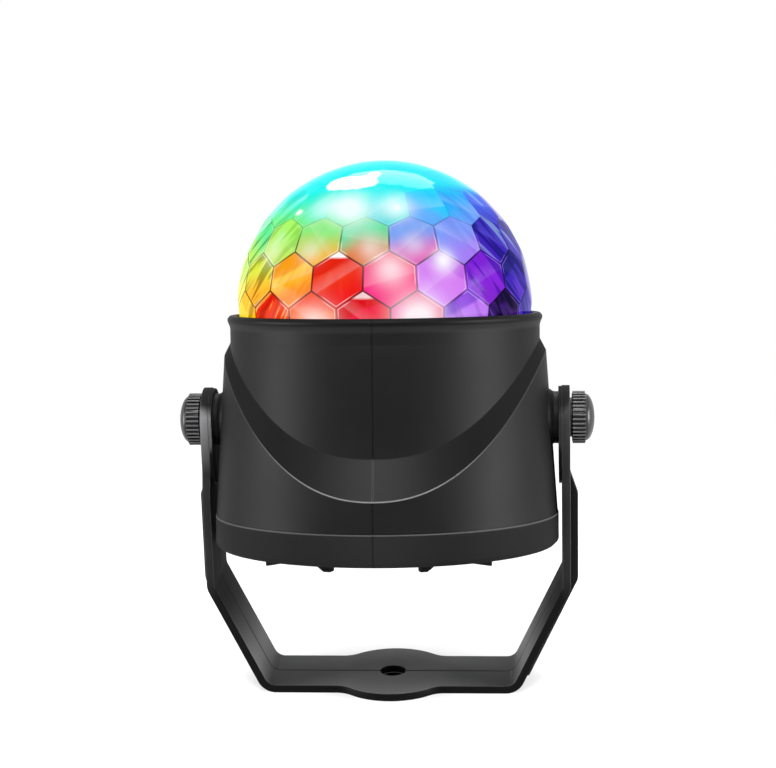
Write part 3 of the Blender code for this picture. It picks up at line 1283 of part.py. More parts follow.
socket_front_y = JACK_BACK_Y - JACK_LENGTH
socket_mouth_y = taper_radius(REAR_CONTROL_HEIGHT) - BAND_STEP
socket_floor_y = socket_mouth_y - JACK_SOCKET_DEPTH
facing_back = (-math.pi / 2, 0, 0)
power_socket = place(box("power_socket", (-JACK_WIDTH / 2, socket_front_y, ON_BOARD),
                         (JACK_WIDTH / 2, JACK_BACK_Y, ON_BOARD + JACK_HEIGHT)), CHIP_BLACK, head)
join(power_socket, rod("power_socket_nose", JACK_NOSE_RADIUS, JACK_BACK_Y - OVERRUN, socket_mouth_y),
     parent=head, location=(0, 0, REAR_CONTROL_HEIGHT), rotation=facing_back)
cut(power_socket, rod("power_socket_bore", JACK_SOCKET_RADIUS, socket_floor_y, socket_mouth_y + OVERRUN),
    parent=head, location=(0, 0, REAR_CONTROL_HEIGHT), rotation=facing_back)
join(power_socket, rod("power_socket_pin", JACK_PIN_RADIUS, socket_floor_y - OVERRUN,
                       socket_mouth_y - OVERRUN, segments=12),
     parent=head, location=(0, 0, REAR_CONTROL_HEIGHT), rotation=facing_back)

button_frame = empty("button_frame", head, (0, 0, 0), (0, 0, BUTTON_ANGLE))
mode_switch = place(box("mode_switch", (-SWITCH_WIDTH / 2, SWITCH_CIRCLE - SWITCH_DEPTH, ON_BOARD),
                        (SWITCH_WIDTH / 2, SWITCH_CIRCLE, ON_BOARD + SWITCH_HEIGHT)), CHIP_BLACK,
                    button_frame)
actuator_end = SWITCH_CIRCLE + ACTUATOR_LENGTH
join(mode_switch, rod("mode_switch_actuator", ACTUATOR_RADIUS, SWITCH_CIRCLE - OVERRUN, actuator_end,
                      segments=16), parent=button_axis)


def button_profile():
    """The push button along its axis: cap, retaining flange and stem."""
    wall_outside = taper_radius(REAR_CONTROL_HEIGHT)
    wall_inside = math.sqrt((wall_outside - WALL) ** 2 - BUTTON_FLANGE_RADIUS ** 2)
    cap_end = wall_outside + BUTTON_PROUD
    flange_outside = wall_inside - CLEARANCE
    flange_inside = flange_outside - BUTTON_FLANGE
    stem_end = actuator_end + CLEARANCE + BUTTON_TRAVEL
    return [(0, cap_end), (BUTTON_RADIUS - CLEARANCE, cap_end), (BUTTON_RADIUS, cap_end - CLEARANCE),
            (BUTTON_RADIUS, flange_outside), (BUTTON_FLANGE_RADIUS, flange_outside),
            (BUTTON_FLANGE_RADIUS, flange_inside), (BUTTON_STEM_RADIUS, flange_inside),
            (BUTTON_STEM_RADIUS, stem_end), (0, stem_end)]


place(made_mesh(turned("mode_button", button_profile(), segments=16)), KNOB_PLASTIC, button_axis)


# Wires inside the housing
def smooth_route(points, steps):
    """A Catmull-Rom curve through the points, with its end tangents along the end pieces."""
    spots = [Vector(point) for point in points]
    ends = [spots[0] * 2 - spots[1]] + spots + [spots[-1] * 2 - spots[-2]]
    route = []
    for a, b, c, d in zip(ends, ends[1:], ends[2:], ends[3:]):
        for step in range(steps):
            t = step / steps
            route.append((b * 2 + (c - a) * t + (a * 2 - b * 5 + c * 4 - d) * t * t
                          + (b * 3 - a - c * 3 + d) * t ** 3) / 2)
    route.append(spots[-1])
    return route


def motor_lead(name, sign, paint):
    """From a terminal under the motor down to the control board."""
    top = MOTOR_BOTTOM - CLEARANCE
    drop = top - ON_BOARD
    x = sign * MOTOR_LEAD_SIDE
    points = [(x, 0, top), (x, -MOTOR_LEAD_REACH / 6, top - drop / 3),
              (x, -MOTOR_LEAD_REACH * 5 / 6, ON_BOARD + drop / 3), (x, -MOTOR_LEAD_REACH, ON_BOARD)]
    return place(wire(name, smooth_route(points, LEAD_STEPS), MOTOR_LEAD_RADIUS), paint, head)


motor_lead("motor_lead_red", 1, RED_WIRE)
motor_lead("motor_lead_black", -1, BLACK_WIRE)
harness_top = LED_BASE + HARNESS_RADIUS
harness_points = [
    (0, -HARNESS_CIRCLE + HARNESS_BEND, ON_BOARD),
    (0, -HARNESS_CIRCLE + HARNESS_BEND / 2, ON_BOARD + HARNESS_BEND),
    (0, -HARNESS_CIRCLE, ON_BOARD + 2 * HARNESS_BEND),
    (0, -HARNESS_CIRCLE, DECK_HEIGHT - HARNESS_BEND),
    (0, -HARNESS_CIRCLE, DECK_TOP),
    (0, -HARNESS_CIRCLE + HARNESS_BEND / 3, harness_top + HARNESS_RADIUS),
    (0, -HARNESS_CIRCLE + HARNESS_BEND, harness_top),
]
place(wire("led_harness", smooth_route(harness_points, LEAD_STEPS), HARNESS_RADIUS), WHITE_WIRE, head)
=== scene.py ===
# %% [markdown]
# # A small disco light on a tilting stand
#
# A faceted crystal dome turns on top of a round black housing. The housing tilts
# between the arms of a bent steel bracket, and two thumb screws hold it there.
#
# The measured solids of all 59 parts come first, as a frame. This lesson then gives
# them their looks: finer pieces where the plain solids are too plain, and a finish
# with grain, wear and colour for every part.

# %% Load the frame of measured solids
import math

import bmesh
import bpy
from mathutils import Matrix, Vector


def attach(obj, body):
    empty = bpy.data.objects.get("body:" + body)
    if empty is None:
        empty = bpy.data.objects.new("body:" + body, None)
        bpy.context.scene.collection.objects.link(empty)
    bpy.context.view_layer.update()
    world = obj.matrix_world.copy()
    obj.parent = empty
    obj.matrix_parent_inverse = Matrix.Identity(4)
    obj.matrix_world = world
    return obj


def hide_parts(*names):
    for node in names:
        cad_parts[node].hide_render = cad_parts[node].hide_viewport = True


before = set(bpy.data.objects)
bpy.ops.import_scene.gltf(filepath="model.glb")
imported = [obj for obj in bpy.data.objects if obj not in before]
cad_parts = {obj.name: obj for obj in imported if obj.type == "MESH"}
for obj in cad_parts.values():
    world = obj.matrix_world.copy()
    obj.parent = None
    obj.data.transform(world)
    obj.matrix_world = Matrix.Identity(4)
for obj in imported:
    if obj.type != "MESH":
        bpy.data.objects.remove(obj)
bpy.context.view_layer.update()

# %% [markdown]
# ## Where things are
#
# Two frames are used. The bracket stands on the ground, at z = 0. The head leans
# back on its pivots, so its pieces are easier to shape upright, in a frame of their
# own, and are then put in place by one matrix. A finished piece keeps its object at
# the origin and has its place in its mesh, as the solids do.

# %% The head's own frame
MM = 0.001
GAP = 0.3 * MM
LEAN = math.radians(10.6)
PIVOT = Vector((0, 2.16492 * MM, 70 * MM))
PIVOT_HEIGHT = 30.65 * MM
HEAD_TOP = 95 * MM

HEAD_PLACE = (Matrix.Translation(PIVOT) @ Matrix.Rotation(-LEAN, 4, "X")
              @ Matrix.Translation((0, 0, -PIVOT_HEIGHT)))
SIDES = {"right": 1, "left": -1}
print("top of the head's axis at", [round(value, 4) for value in HEAD_PLACE @ Vector((0, 0, HEAD_TOP))])


def in_mm(*values):
    """Lengths given in millimetres."""
    return [value * MM for value in values]


# %% Small helpers for outlines
def polar(radius, angle):
    """A point on a circle, the angle counted from +X."""
    return (radius * math.cos(angle), radius * math.sin(angle))


def around(radius, angle, height):
    """A point of the head, the angle counted from the front towards the right."""
    return (radius * math.sin(angle), -radius * math.cos(angle), height)


def softened(corners, radii, steps=3, closed=True):
    """An outline with each corner rounded by its own radius."""
    points = []
    last = len(corners) - 1
    for index, radius in enumerate(radii):
        corner = Vector(corners[index])
        if radius == 0 or (not closed and index in (0, last)):
            points.append(corner)
            continue
        before = Vector(corners[index - 1]) - corner
        after = Vector(corners[(index + 1) % len(corners)]) - corner
        half = before.angle(after) / 2
        reach = min(radius / math.tan(half), before.length / 2, after.length / 2)
        start = corner + before.normalized() * reach
        end = corner + after.normalized() * reach
        for step in range(steps + 1):
            t = step / steps
            points.append(start * (1 - t) ** 2 + corner * 2 * t * (1 - t) + end * t ** 2)
    return points


# %% Small helpers for solid shapes
def loft(rings):
    """Rings of points joined one after the other, with both ends closed."""
    shape = bmesh.new()
    rows = [[shape.verts.new(point) for point in ring] for ring in rings]
    for row, following in zip(rows, rows[1:]):
        for index in range(len(row)):
            after = (index + 1) % len(row)
            shape.faces.new((row[index], following[index], following[after], row[after]))
    shape.faces.new(rows[0])
    shape.faces.new(rows[-1])
    bmesh.ops.recalc_face_normals(shape, faces=shape.faces)
    return shape


def lathe(profile, segments=48):
    """A profile of (radius, height) points turned about Z. A radius of 0 closes a pole."""
    shape = bmesh.new()
    rows = []
    for radius, height in profile:
        if radius == 0:
            rows.append([shape.verts.new((0, 0, height))] * segments)
            continue
        ring = [polar(radius, math.tau * index / segments) for index in range(segments)]
        rows.append([shape.verts.new((x, y, height)) for x, y in ring])
    for row, following in zip(rows, rows[1:]):
        for index in range(segments):
            after = (index + 1) % segments
            corners = dict.fromkeys((row[index], following[index], following[after], row[after]))
            if len(corners) > 2:
                shape.faces.new(list(corners))
    bmesh.ops.recalc_face_normals(shape, faces=shape.faces)
    return shape


def prism(outline, bottom, top):
    """An outline in XY raised between two heights."""
    rings = [[(x, y, height) for x, y in outline] for height in (bottom, top)]
    return loft(rings)


def block(low, high):
    """A box between two corners."""
    outline = [(low[0], low[1]), (high[0], low[1]), (high[0], high[1]), (low[0], high[1])]
    return prism(outline, low[2], high[2])


def rounded(shape, width, segments=2, sharper_than=40):
    """Round the edges of a shape that turn by more than an angle."""
    limit = math.radians(sharper_than)
    edges = [edge for edge in shape.edges if edge.calc_face_angle(0) > limit]
    bmesh.ops.bevel(shape, geom=edges, offset=width, segments=segments, profile=0.5, affect="EDGES",
                    clamp_overlap=True)
    return shape


def moved(shape, place):
    """The shape moved by a matrix."""
    bmesh.ops.transform(shape, matrix=place, verts=shape.verts)
    return shape


# %% Join and cut solid shapes
def stand_in(name, shape):
    """An object for a shape that only helps to make another."""
    mesh = bpy.data.meshes.new(name)
    shape.to_mesh(mesh)
    shape.free()
    item = bpy.data.objects.new(name, mesh)
    bpy.context.scene.collection.objects.link(item)
    return item


def evaluated_mesh(item):
    """The plain mesh that an object's modifiers give. The object is removed."""
    bpy.context.view_layer.update()
    graph = bpy.context.evaluated_depsgraph_get()
    mesh = bpy.data.meshes.new_from_object(item.evaluated_get(graph))
    bpy.data.objects.remove(item, do_unlink=True)
    return mesh


def combined(base, joins=(), cuts=()):
    """A solid with others joined to it and then cut out of it."""
    item = stand_in("work", base)
    tools = []
    for operation, shapes in (("UNION", joins), ("DIFFERENCE", cuts)):
        for shape in shapes:
            tool = stand_in("tool", shape)
            tools.append(tool)
            step = item.modifiers.new(operation.lower(), "BOOLEAN")
            step.operation = operation
            step.solver = "EXACT"
            step.object = tool
    mesh = evaluated_mesh(item)
    for tool in tools:
        bpy.data.objects.remove(tool, do_unlink=True)
    return mesh


def plain_mesh(name, shape):
    """A mesh from a shape that needs no joining or cutting."""
    mesh = bpy.data.meshes.new(name)
    shape.to_mesh(mesh)
    shape.free()
    return mesh


# %% [markdown]
# ## Shared effects for the finishes
#
# Most parts are moulded or painted, and they share three effects: a fine grain that
# roughens the surface, soft clouds that keep a colour from being perfectly even, and
# a paler rim along edges, where handling polishes them. Each effect is a node group
# with named inputs, so every finish uses the same one with its own values.

# %% Helpers for node trees
def fill(tree, node, inputs):
    """Give the inputs of a node their values or links."""
    for key, value in inputs.items():
        if isinstance(value, bpy.types.NodeSocket):
            tree.links.new(value, node.inputs[key])
        else:
            node.inputs[key].default_value = value


def add(tree, kind, inputs=None, **settings):
    """Add a node, set it up and fill its inputs."""
    made = tree.nodes.new(kind)
    for key, value in settings.items():
        setattr(made, key, value)
    fill(tree, made, inputs or {})
    return made


def maths(tree, operation, first, second=0.0, clamp=False):
    """The result of a Math node."""
    return add(tree, "ShaderNodeMath", {0: first, 1: second}, operation=operation,
               use_clamp=clamp).outputs[0]


def chained(operation):
    """A helper that joins two or more values by one Math operation."""
    def helper(tree, first, *others):
        for other in others:
            first = maths(tree, operation, first, other)
        return first
    return helper


plus = chained("ADD")
minus = chained("SUBTRACT")
times = chained("MULTIPLY")
largest = chained("MAXIMUM")
print("plus, minus, times and largest join two or more values")


# %% Helpers for vectors and ranges in node trees
def unsigned(tree, value):
    """A value without its sign."""
    return maths(tree, "ABSOLUTE", value)


def vector_maths(tree, operation, first, second=(0, 0, 0)):
    """The vector that a Vector Math node gives."""
    return add(tree, "ShaderNodeVectorMath", {0: first, 1: second}, operation=operation).outputs[0]


def scaled(tree, vector, factor):
    """A vector made longer or shorter."""
    node = add(tree, "ShaderNodeVectorMath", {0: vector, "Scale": factor}, operation="SCALE")
    return node.outputs[0]


def dot(tree, first, second):
    """The dot product of two vectors."""
    return add(tree, "ShaderNodeVectorMath", {0: first, 1: second},
               operation="DOT_PRODUCT").outputs["Value"]


def length_of(tree, vector):
    """The length of a vector."""
    return add(tree, "ShaderNodeVectorMath", {0: vector}, operation="LENGTH").outputs["Value"]


def split(tree, vector):
    """The three parts of a vector."""
    return add(tree, "ShaderNodeSeparateXYZ", {0: vector}).outputs


def ranged(tree, value, low, high, to_low=0.0, to_high=1.0, smooth=False):
    """A value mapped from one range to another and kept inside it."""
    kind = "SMOOTHSTEP" if smooth else "LINEAR"
    return add(tree, "ShaderNodeMapRange", {0: value, 1: low, 2: high, 3: to_low, 4: to_high},
               interpolation_type=kind).outputs[0]


# %% Helpers for colours, noise and groups
WHITE = (1, 1, 1, 1)


def blend(tree, factor, first, second, mode="MIX"):
    """Two colours blended."""
    return add(tree, "ShaderNodeMix", {0: factor, 6: first, 7: second}, data_type="RGBA",
               blend_type=mode).outputs[2]


def tinted(tree, first, second):
    """One colour multiplied by another."""
    return blend(tree, 1.0, first, second, "MULTIPLY")


def noise(tree, vector, scale, detail=2.0, roughness=0.5, distortion=0.0):
    """A noise value between 0 and 1."""
    inputs = {"Vector": vector, "Scale": scale, "Detail": detail, "Roughness": roughness,
              "Distortion": distortion}
    return add(tree, "ShaderNodeTexNoise", inputs).outputs[0]


def new_group(name, inputs, outputs):
    """A shader node group with named sockets, and its two end nodes."""
    group = bpy.data.node_groups.new(name, "ShaderNodeTree")
    for title, kind, value in inputs:
        made = group.interface.new_socket(name=title, in_out="INPUT", socket_type="NodeSocket" + kind)
        made.default_value = value
    for title, kind in outputs:
        group.interface.new_socket(name=title, in_out="OUTPUT", socket_type="NodeSocket" + kind)
    return group, group.nodes.new("NodeGroupInput"), group.nodes.new("NodeGroupOutput")


def grouped(tree, group, inputs):
    """The outputs of a node group that is placed in a material."""
    return add(tree, "ShaderNodeGroup", inputs, node_tree=group).outputs


def outputs_of(group):
    """The names of what a group gives."""
    return [item.name for item in group.interface.items_tree if item.in_out == "OUTPUT"]


# %% Grain: fine bumps and soft clouds
CELL_SHARE = 0.4
GRAIN, start, end = new_group(
    "surface_grain",
    [("Place", "Vector", (0, 0, 0)), ("Grain Scale", "Float", 2500.0), ("Cloud Scale", "Float", 60.0)],
    [("Height", "Float"), ("Clouds", "Float")])
fine = noise(GRAIN, start.outputs["Place"], start.outputs["Grain Scale"], 3.0, 0.6)
cells = add(GRAIN, "ShaderNodeTexVoronoi",
            {"Vector": start.outputs["Place"], "Scale": start.outputs["Grain Scale"]}).outputs[0]
clouds = noise(GRAIN, start.outputs["Place"], start.outputs["Cloud Scale"], 4.0, 0.55)
fill(GRAIN, end, {"Height": plus(GRAIN, fine, times(GRAIN, cells, CELL_SHARE)),
                  "Clouds": ranged(GRAIN, clouds, 0.3, 0.7)})
print(GRAIN.name, "gives", outputs_of(GRAIN))

# %% Worn edges: a mask that is 1 along the edges
PATCH_SCALE = 500.0
EDGES, start, end = new_group(
    "worn_edges",
    [("Place", "Vector", (0, 0, 0)), ("Width", "Float", 0.4 * MM), ("Breakup", "Float", 0.3)],
    [("Edge", "Float")])
soft_normal = add(EDGES, "ShaderNodeBevel", {"Radius": start.outputs["Width"]}, samples=4).outputs[0]
true_normal = add(EDGES, "ShaderNodeNewGeometry").outputs["Normal"]
bare = ranged(EDGES, dot(EDGES, soft_normal, true_normal), 0.995, 0.9)
patches = noise(EDGES, start.outputs["Place"], PATCH_SCALE, 3.0)
kept = times(EDGES, ranged(EDGES, patches, 0.35, 0.65), start.outputs["Breakup"])
fill(EDGES, end, {"Edge": maths(EDGES, "SUBTRACT", bare, kept, clamp=True)})
print(EDGES.name, "gives", outputs_of(EDGES))

# %% Brushed lines: fine scratches in one direction
LINES, start, end = new_group(
    "brushed_lines",
    [("Place", "Vector", (0, 0, 0)), ("Stretch", "Vector", (1, 1, 1)), ("Scale", "Float", 2000.0)],
    [("Height", "Float"), ("Shade", "Float")])
stretched = vector_maths(LINES, "MULTIPLY", start.outputs["Place"], start.outputs["Stretch"])
strokes = noise(LINES, stretched, start.outputs["Scale"], 3.0, 0.7)
fill(LINES, end, {"Height": strokes, "Shade": ranged(LINES, strokes, 0.3, 0.7)})
print(LINES.name, "gives", outputs_of(LINES))


# %% [markdown]
# ## One recipe for moulded and painted parts
#
# Black plastic is hardly ever one black. Its finish here mixes two near tones in
# soft clouds, varies its roughness with them, lifts the edges a little, and gets its
# satin look from a grain too fine to see one by one.

# %% The recipe
GRAIN_HEIGHT = 0.05 * MM
SCRATCH_HEIGHT = 0.02 * MM


def new_material(name):
    """A material with its Principled shader and the object's coordinates."""
    made = bpy.data.materials.new(name)
    made.use_nodes = True
    tree = made.node_tree
    shader = tree.nodes["Principled BSDF"]
    place = add(tree, "ShaderNodeTexCoord").outputs["Object"]
    return made, tree, shader, place


def bumped(tree, shader, height, strength, distance):
    """Let a height raise the surface."""
    bump = add(tree, "ShaderNodeBump", {"Height": height, "Strength": strength, "Distance": distance})
    tree.links.new(bump.outputs[0], shader.inputs["Normal"])


def rgb(red, green, blue):
    """A colour as it is seen on a screen, 0 to 255, in the linear values of a shader."""
    linear = []
    for value in (red, green, blue):
        share = value / 255
        linear.append(share / 12.92 if share <= 0.04045 else ((share + 0.055) / 1.055) ** 2.4)
    return (*linear, 1.0)


def grained(name, low, high, edge, rough, grain=2500.0, cloud=60.0, depth=0.15, width=0.4 * MM,
            specular=0.5, breakup=0.3, coat=0.0):
    """A moulded or painted finish: two tones, an edge tone and a range of roughness."""
    made, tree, shader, place = new_material(name)
    texture = grouped(tree, GRAIN, {"Place": place, "Grain Scale": grain, "Cloud Scale": cloud})
    wear = grouped(tree, EDGES, {"Place": place, "Width": width, "Breakup": breakup})
    tone = blend(tree, texture["Clouds"], rgb(*low), rgb(*high))
    fill(tree, shader, {
        "Base Color": blend(tree, wear["Edge"], tone, rgb(*edge)),
        "Roughness": ranged(tree, texture["Clouds"], 0.0, 1.0, *rough),
        "Specular IOR Level": specular, "Coat Weight": coat})
    bumped(tree, shader, texture["Height"], depth, GRAIN_HEIGHT)
    return made


def overlaid(made, factor, colour):
    """Lay a tone over a finish where a mask says so."""
    tree = made.node_tree
    socket = tree.nodes["Principled BSDF"].inputs["Base Color"]
    tree.links.new(blend(tree, factor, socket.links[0].from_socket, rgb(*colour)), socket)


def dulled(made, factor):
    """Roughen a finish where a mask says so."""
    tree = made.node_tree
    socket = tree.nodes["Principled BSDF"].inputs["Roughness"]
    tree.links.new(maths(tree, "ADD", socket.links[0].from_socket, factor, clamp=True), socket)


def brushed(name, low, high, rough, stretch=(1, 1, 0.04), scale=2500.0):
    """A metal finish with fine lines."""
    made, tree, shader, place = new_material(name)
    texture = grouped(tree, LINES, {"Place": place, "Stretch": stretch, "Scale": scale})
    fill(tree, shader, {
        "Base Color": blend(tree, texture["Shade"], rgb(*low), rgb(*high)),
        "Roughness": ranged(tree, texture["Shade"], 0.0, 1.0, *rough), "Metallic": 1.0})
    bumped(tree, shader, texture["Height"], 0.2, SCRATCH_HEIGHT)
    return made


# %% Dress a piece and put it in the scene
def dressed(name, mesh, finish, body, replaced, place=HEAD_PLACE, crisp=32):
    """A finished piece: smooth faces, crisp edges, its place in its mesh, riding on its body."""
    mesh.name = name
    mesh.transform(place)
    mesh.shade_smooth()
    mesh.set_sharp_from_angle(angle=math.radians(crisp))
    mesh.materials.clear()
    mesh.materials.append(finish)
    piece = bpy.data.objects.new(name, mesh)
    bpy.context.scene.collection.objects.link(piece)
    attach(piece, body)
    if replaced:
        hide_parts(*replaced)
    print(name, "has", len(mesh.vertices), "points and", len(mesh.polygons), "faces")


# %% [markdown]
# ## Housing
#
# The housing is two moulded shells that meet in a seam at the front and the back.
# A lower wall sweeps up from the front to both sides and ends in a crisp line. Above
# it a sloping face leads to a set-back wall, which runs up to a flared lip.
#
# Each half could be cut from a cylinder by many knives. It is lofted instead: one
# section of the wall, drawn again for every angle with the two sweeping lines at
# their own heights, and joined from the front seam to the back seam. The corners
# of the section are rounded, because it is rounded edges that catch the light.

# %% Sizes of the housing
BODY_RADIUS = 43 * MM
BAND_TOP = 7.3 * MM
BAND_STEP = 0.2 * MM
SKIRT = 0.5 * MM
WALL = 2 * MM
TAPER_TOP = (40.3 * MM, 45 * MM)
RECESS_RADIUS = 39.4 * MM
NECK_RADIUS = 38.6 * MM
NECK_BOTTOM = 50.5 * MM
NECK_TOP = 54 * MM
LIP_RADIUS = 39.25 * MM
LIP_HEIGHT = 56.2 * MM
LIP_TOP = 56.9 * MM
LIP_INNER = 36.9 * MM
LOWER_LINE = (14.8 * MM, 47.5 * MM, 2.25)
UPPER_LINE = (24.5 * MM, 50.5 * MM, 2.4)
FLOOR_LEDGE = 38.2 * MM
FLOOR_RECESS = 39.8 * MM
LEDGE_BOTTOM = 2.6 * MM
LEDGE_TOP = 4.4 * MM


def taper_radius(height):
    """Outer radius of the lower wall, which narrows upwards."""
    share = (height - BAND_TOP) / (TAPER_TOP[1] - BAND_TOP)
    return BODY_RADIUS - BAND_STEP + (TAPER_TOP[0] - BODY_RADIUS + BAND_STEP) * share


def recess_radius(height):
    """Outer radius of the set-back wall."""
    share = (NECK_BOTTOM - height) / (NECK_BOTTOM - UPPER_LINE[0])
    return NECK_RADIUS + (RECESS_RADIUS - NECK_RADIUS) * share


def sweep(line, angle):
    """Height of a sweeping line, the angle counted from the front."""
    front, side, power = line
    return front + (side - front) * abs(math.sin(angle)) ** power


print("lower line from", LOWER_LINE[0], "to", LOWER_LINE[1])


# %% The wall's section: outlines with their corner radii
WALL_ROWS = 7
HOLD = 0.15 * MM
SKIRT_EDGE = 0.8 * MM
SKIRT_BOTTOM = in_mm(1.4, 0.9)
BAND_RADII = in_mm(0.4, 0.8, 0.12, 0.12, 0)
CREST_RUN = 0.4 * MM
CREST_EDGE = 0.3 * MM
VALLEY_EDGE = 0.12 * MM
LIP_EDGE = 0.6 * MM
LIP_RADII = in_mm(0, 0.4, 3, 0.8, 0.5, 0.5, 0.3, 0)


def between(start, end, rows):
    """Points on the line from start to end, without the end."""
    return [Vector(start).lerp(Vector(end), row / rows) for row in range(rows)]


def held(before, arc, after):
    """An arc with a point close by on either side, so that the faces beside it look flat."""
    start = arc[0] + (Vector(before) - arc[0]).normalized() * HOLD
    end = arc[-1] + (Vector(after) - arc[-1]).normalized() * HOLD
    return [start] + arc + [end]


def wall_section(angle):
    """The closed section of the wall at one angle: up the outside and down the inside."""
    low = sweep(LOWER_LINE, angle)
    high = sweep(UPPER_LINE, angle)
    crest_corner = (taper_radius(low), low)
    valley_corner = (recess_radius(high), high)
    neck_start = (recess_radius(high + MM), high + MM)
    band = [Vector((BODY_RADIUS - inset, -SKIRT)) for inset in SKIRT_BOTTOM]
    band += softened([(BODY_RADIUS - SKIRT_EDGE, -SKIRT), (BODY_RADIUS, SKIRT_EDGE / 2),
                      (BODY_RADIUS, BAND_TOP - BAND_STEP), (taper_radius(BAND_TOP), BAND_TOP),
                      crest_corner], BAND_RADII, closed=False)[1:-1]
    line_start = Vector((taper_radius(low - CREST_RUN), low - CREST_RUN))
    crest = softened([line_start, crest_corner, valley_corner], [0, CREST_EDGE, 0], 4,
                     closed=False)[1:-1]
    valley = softened([crest_corner, valley_corner, neck_start], [0, VALLEY_EDGE, 0], 2,
                      closed=False)[1:-1]
    crest = held(band[-1], crest, valley[0])
    valley = held(crest[-1], valley, neck_start)
    lip = softened([(NECK_RADIUS + BAND_STEP / 2, NECK_BOTTOM - BAND_STEP),
                    (NECK_RADIUS, NECK_BOTTOM + BAND_STEP), (NECK_RADIUS, NECK_TOP),
                    (LIP_RADIUS, LIP_HEIGHT - LIP_EDGE), (LIP_RADIUS, LIP_HEIGHT),
                    (LIP_RADIUS - LIP_EDGE, LIP_TOP), (LIP_INNER, LIP_TOP), (LIP_INNER, NECK_BOTTOM)],
                   LIP_RADII, closed=False)[1:-1]
    outside = (band + between(band[-1], crest[0], WALL_ROWS)[1:] + crest + valley
               + between(valley[-1], lip[0], WALL_ROWS)[1:] + lip)
    inside = [(LIP_INNER, NECK_BOTTOM), (recess_radius(high) - NECK_RADIUS + LIP_INNER, high),
              (taper_radius(low) - WALL, low), (taper_radius(LEDGE_TOP) - WALL, LEDGE_TOP),
              (FLOOR_LEDGE, LEDGE_TOP), (FLOOR_LEDGE, LEDGE_BOTTOM), (FLOOR_RECESS, LEDGE_BOTTOM),
              (FLOOR_RECESS, -SKIRT)]
    return outside + [Vector(point) for point in inside]


print("section of", len(wall_section(0)), "points")

# %% Loft one half from seam to seam
SHELL_STEPS = 108
SEAM_BEVEL = 0.1 * MM
INSIDE_POINTS = 8


def half_wall(sign):
    """One half of the housing's wall, with a small bevel along its seams."""
    rings = []
    for step in range(SHELL_STEPS + 1):
        angle = math.pi * step / SHELL_STEPS
        ring = []
        for radius, height in wall_section(angle):
            x, y, _ = around(radius, angle, height)
            ring.append((sign * max(x, SEAM_BEVEL), y, height))
        rings.append(ring)
    for end in (0, -1):
        seam = []
        for index, (_, y, z) in enumerate(rings[end]):
            away = 1 if index < len(rings[end]) - INSIDE_POINTS else -1
            seam.append((0, y - math.copysign(SEAM_BEVEL, y) * away, z))
        rings.insert(0 if end == 0 else len(rings), seam)
    return loft(rings)


print("each half has", SHELL_STEPS, "steps")

# %% [markdown]
# ## Posts, bosses and holes of the housing
#
# Inside each half two posts take the screws of the floor and of the light deck, and
# a hollow boss outside carries the pivot. They are joined to the wall, and the holes
# at the back, for the power plug, the button and the sound sensor, are cut out.

# %% Sizes of the fittings
POST_CIRCLE = 33.8 * MM
POST_RADIUS = 2.8 * MM
POST_BORE = 1.2 * MM
POST_TOP = 37.4 * MM
POST_ANGLES = [math.radians(56), math.radians(124)]
WEB_TOP = 30 * MM
WEB_HALF = 0.8 * MM
BOSS_RADIUS = 6.5 * MM
BOSS_OUTER = 43.04 * MM
BOSS_INNER = 34 * MM
BOSS_FILLET = 1.2 * MM
BOSS_RADII = in_mm(0, 0.08, 1, 0, 0, 0, 0)
INSERT_RADIUS = 4 * MM
CONTROL_HEIGHT = 10.1 * MM
NOSE_RADIUS = 3 * MM
BUTTON_RADIUS = 2.7 * MM
BUTTON_ANGLE = math.radians(28)
SENSOR_ANGLE = math.radians(-28)
SENSOR_HOLE = 0.8 * MM
BACK_INSIDE = 38 * MM
CHAMFER = 0.3 * MM
NOSE_CHAMFER = 0.25 * MM
SENSOR_CHAMFER = 0.2 * MM


def rod(radius, bottom, top, segments=32):
    """An upright cylinder."""
    return lathe([(0, top), (radius, top), (radius, bottom), (0, bottom)], segments)


def side_place(sign):
    """Matrix for a shape drawn along Z that points out of the head's side."""
    return Matrix.Translation((0, 0, PIVOT_HEIGHT)) @ Matrix.Rotation(sign * math.pi / 2, 4, "Y")


def back_place(angle):
    """Matrix for a shape drawn along Z that points out of the head's back."""
    return (Matrix.Translation((0, 0, CONTROL_HEIGHT)) @ Matrix.Rotation(angle, 4, "Z")
            @ Matrix.Rotation(-math.pi / 2, 4, "X"))


# %% Make the two halves
def pivot_boss(sign):
    """The boss, with a fillet where it meets the wall."""
    root = taper_radius(PIVOT_HEIGHT)
    profile = softened([(0, BOSS_OUTER), (BOSS_RADIUS, BOSS_OUTER), (BOSS_RADIUS, root + BOSS_FILLET / 2),
                        (BOSS_RADIUS + BOSS_FILLET, root - BOSS_FILLET),
                        (BOSS_RADIUS, root - BOSS_FILLET - WALL), (BOSS_RADIUS, BOSS_INNER),
                        (0, BOSS_INNER)], BOSS_RADII, closed=False)
    return moved(lathe(profile), side_place(sign))


def hole_with_chamfer(radius, bottom, top, chamfer):
    """A cutter that widens at its top."""
    return lathe([(0, top + MM), (radius + chamfer + MM, top + MM), (radius, top - chamfer),
                  (radius, bottom), (0, bottom)])


def back_hole(radius, angle, chamfer):
    """A cutter for a hole through the back of the wall."""
    cutter = hole_with_chamfer(radius, BACK_INSIDE, taper_radius(CONTROL_HEIGHT), chamfer)
    return moved(cutter, back_place(angle))


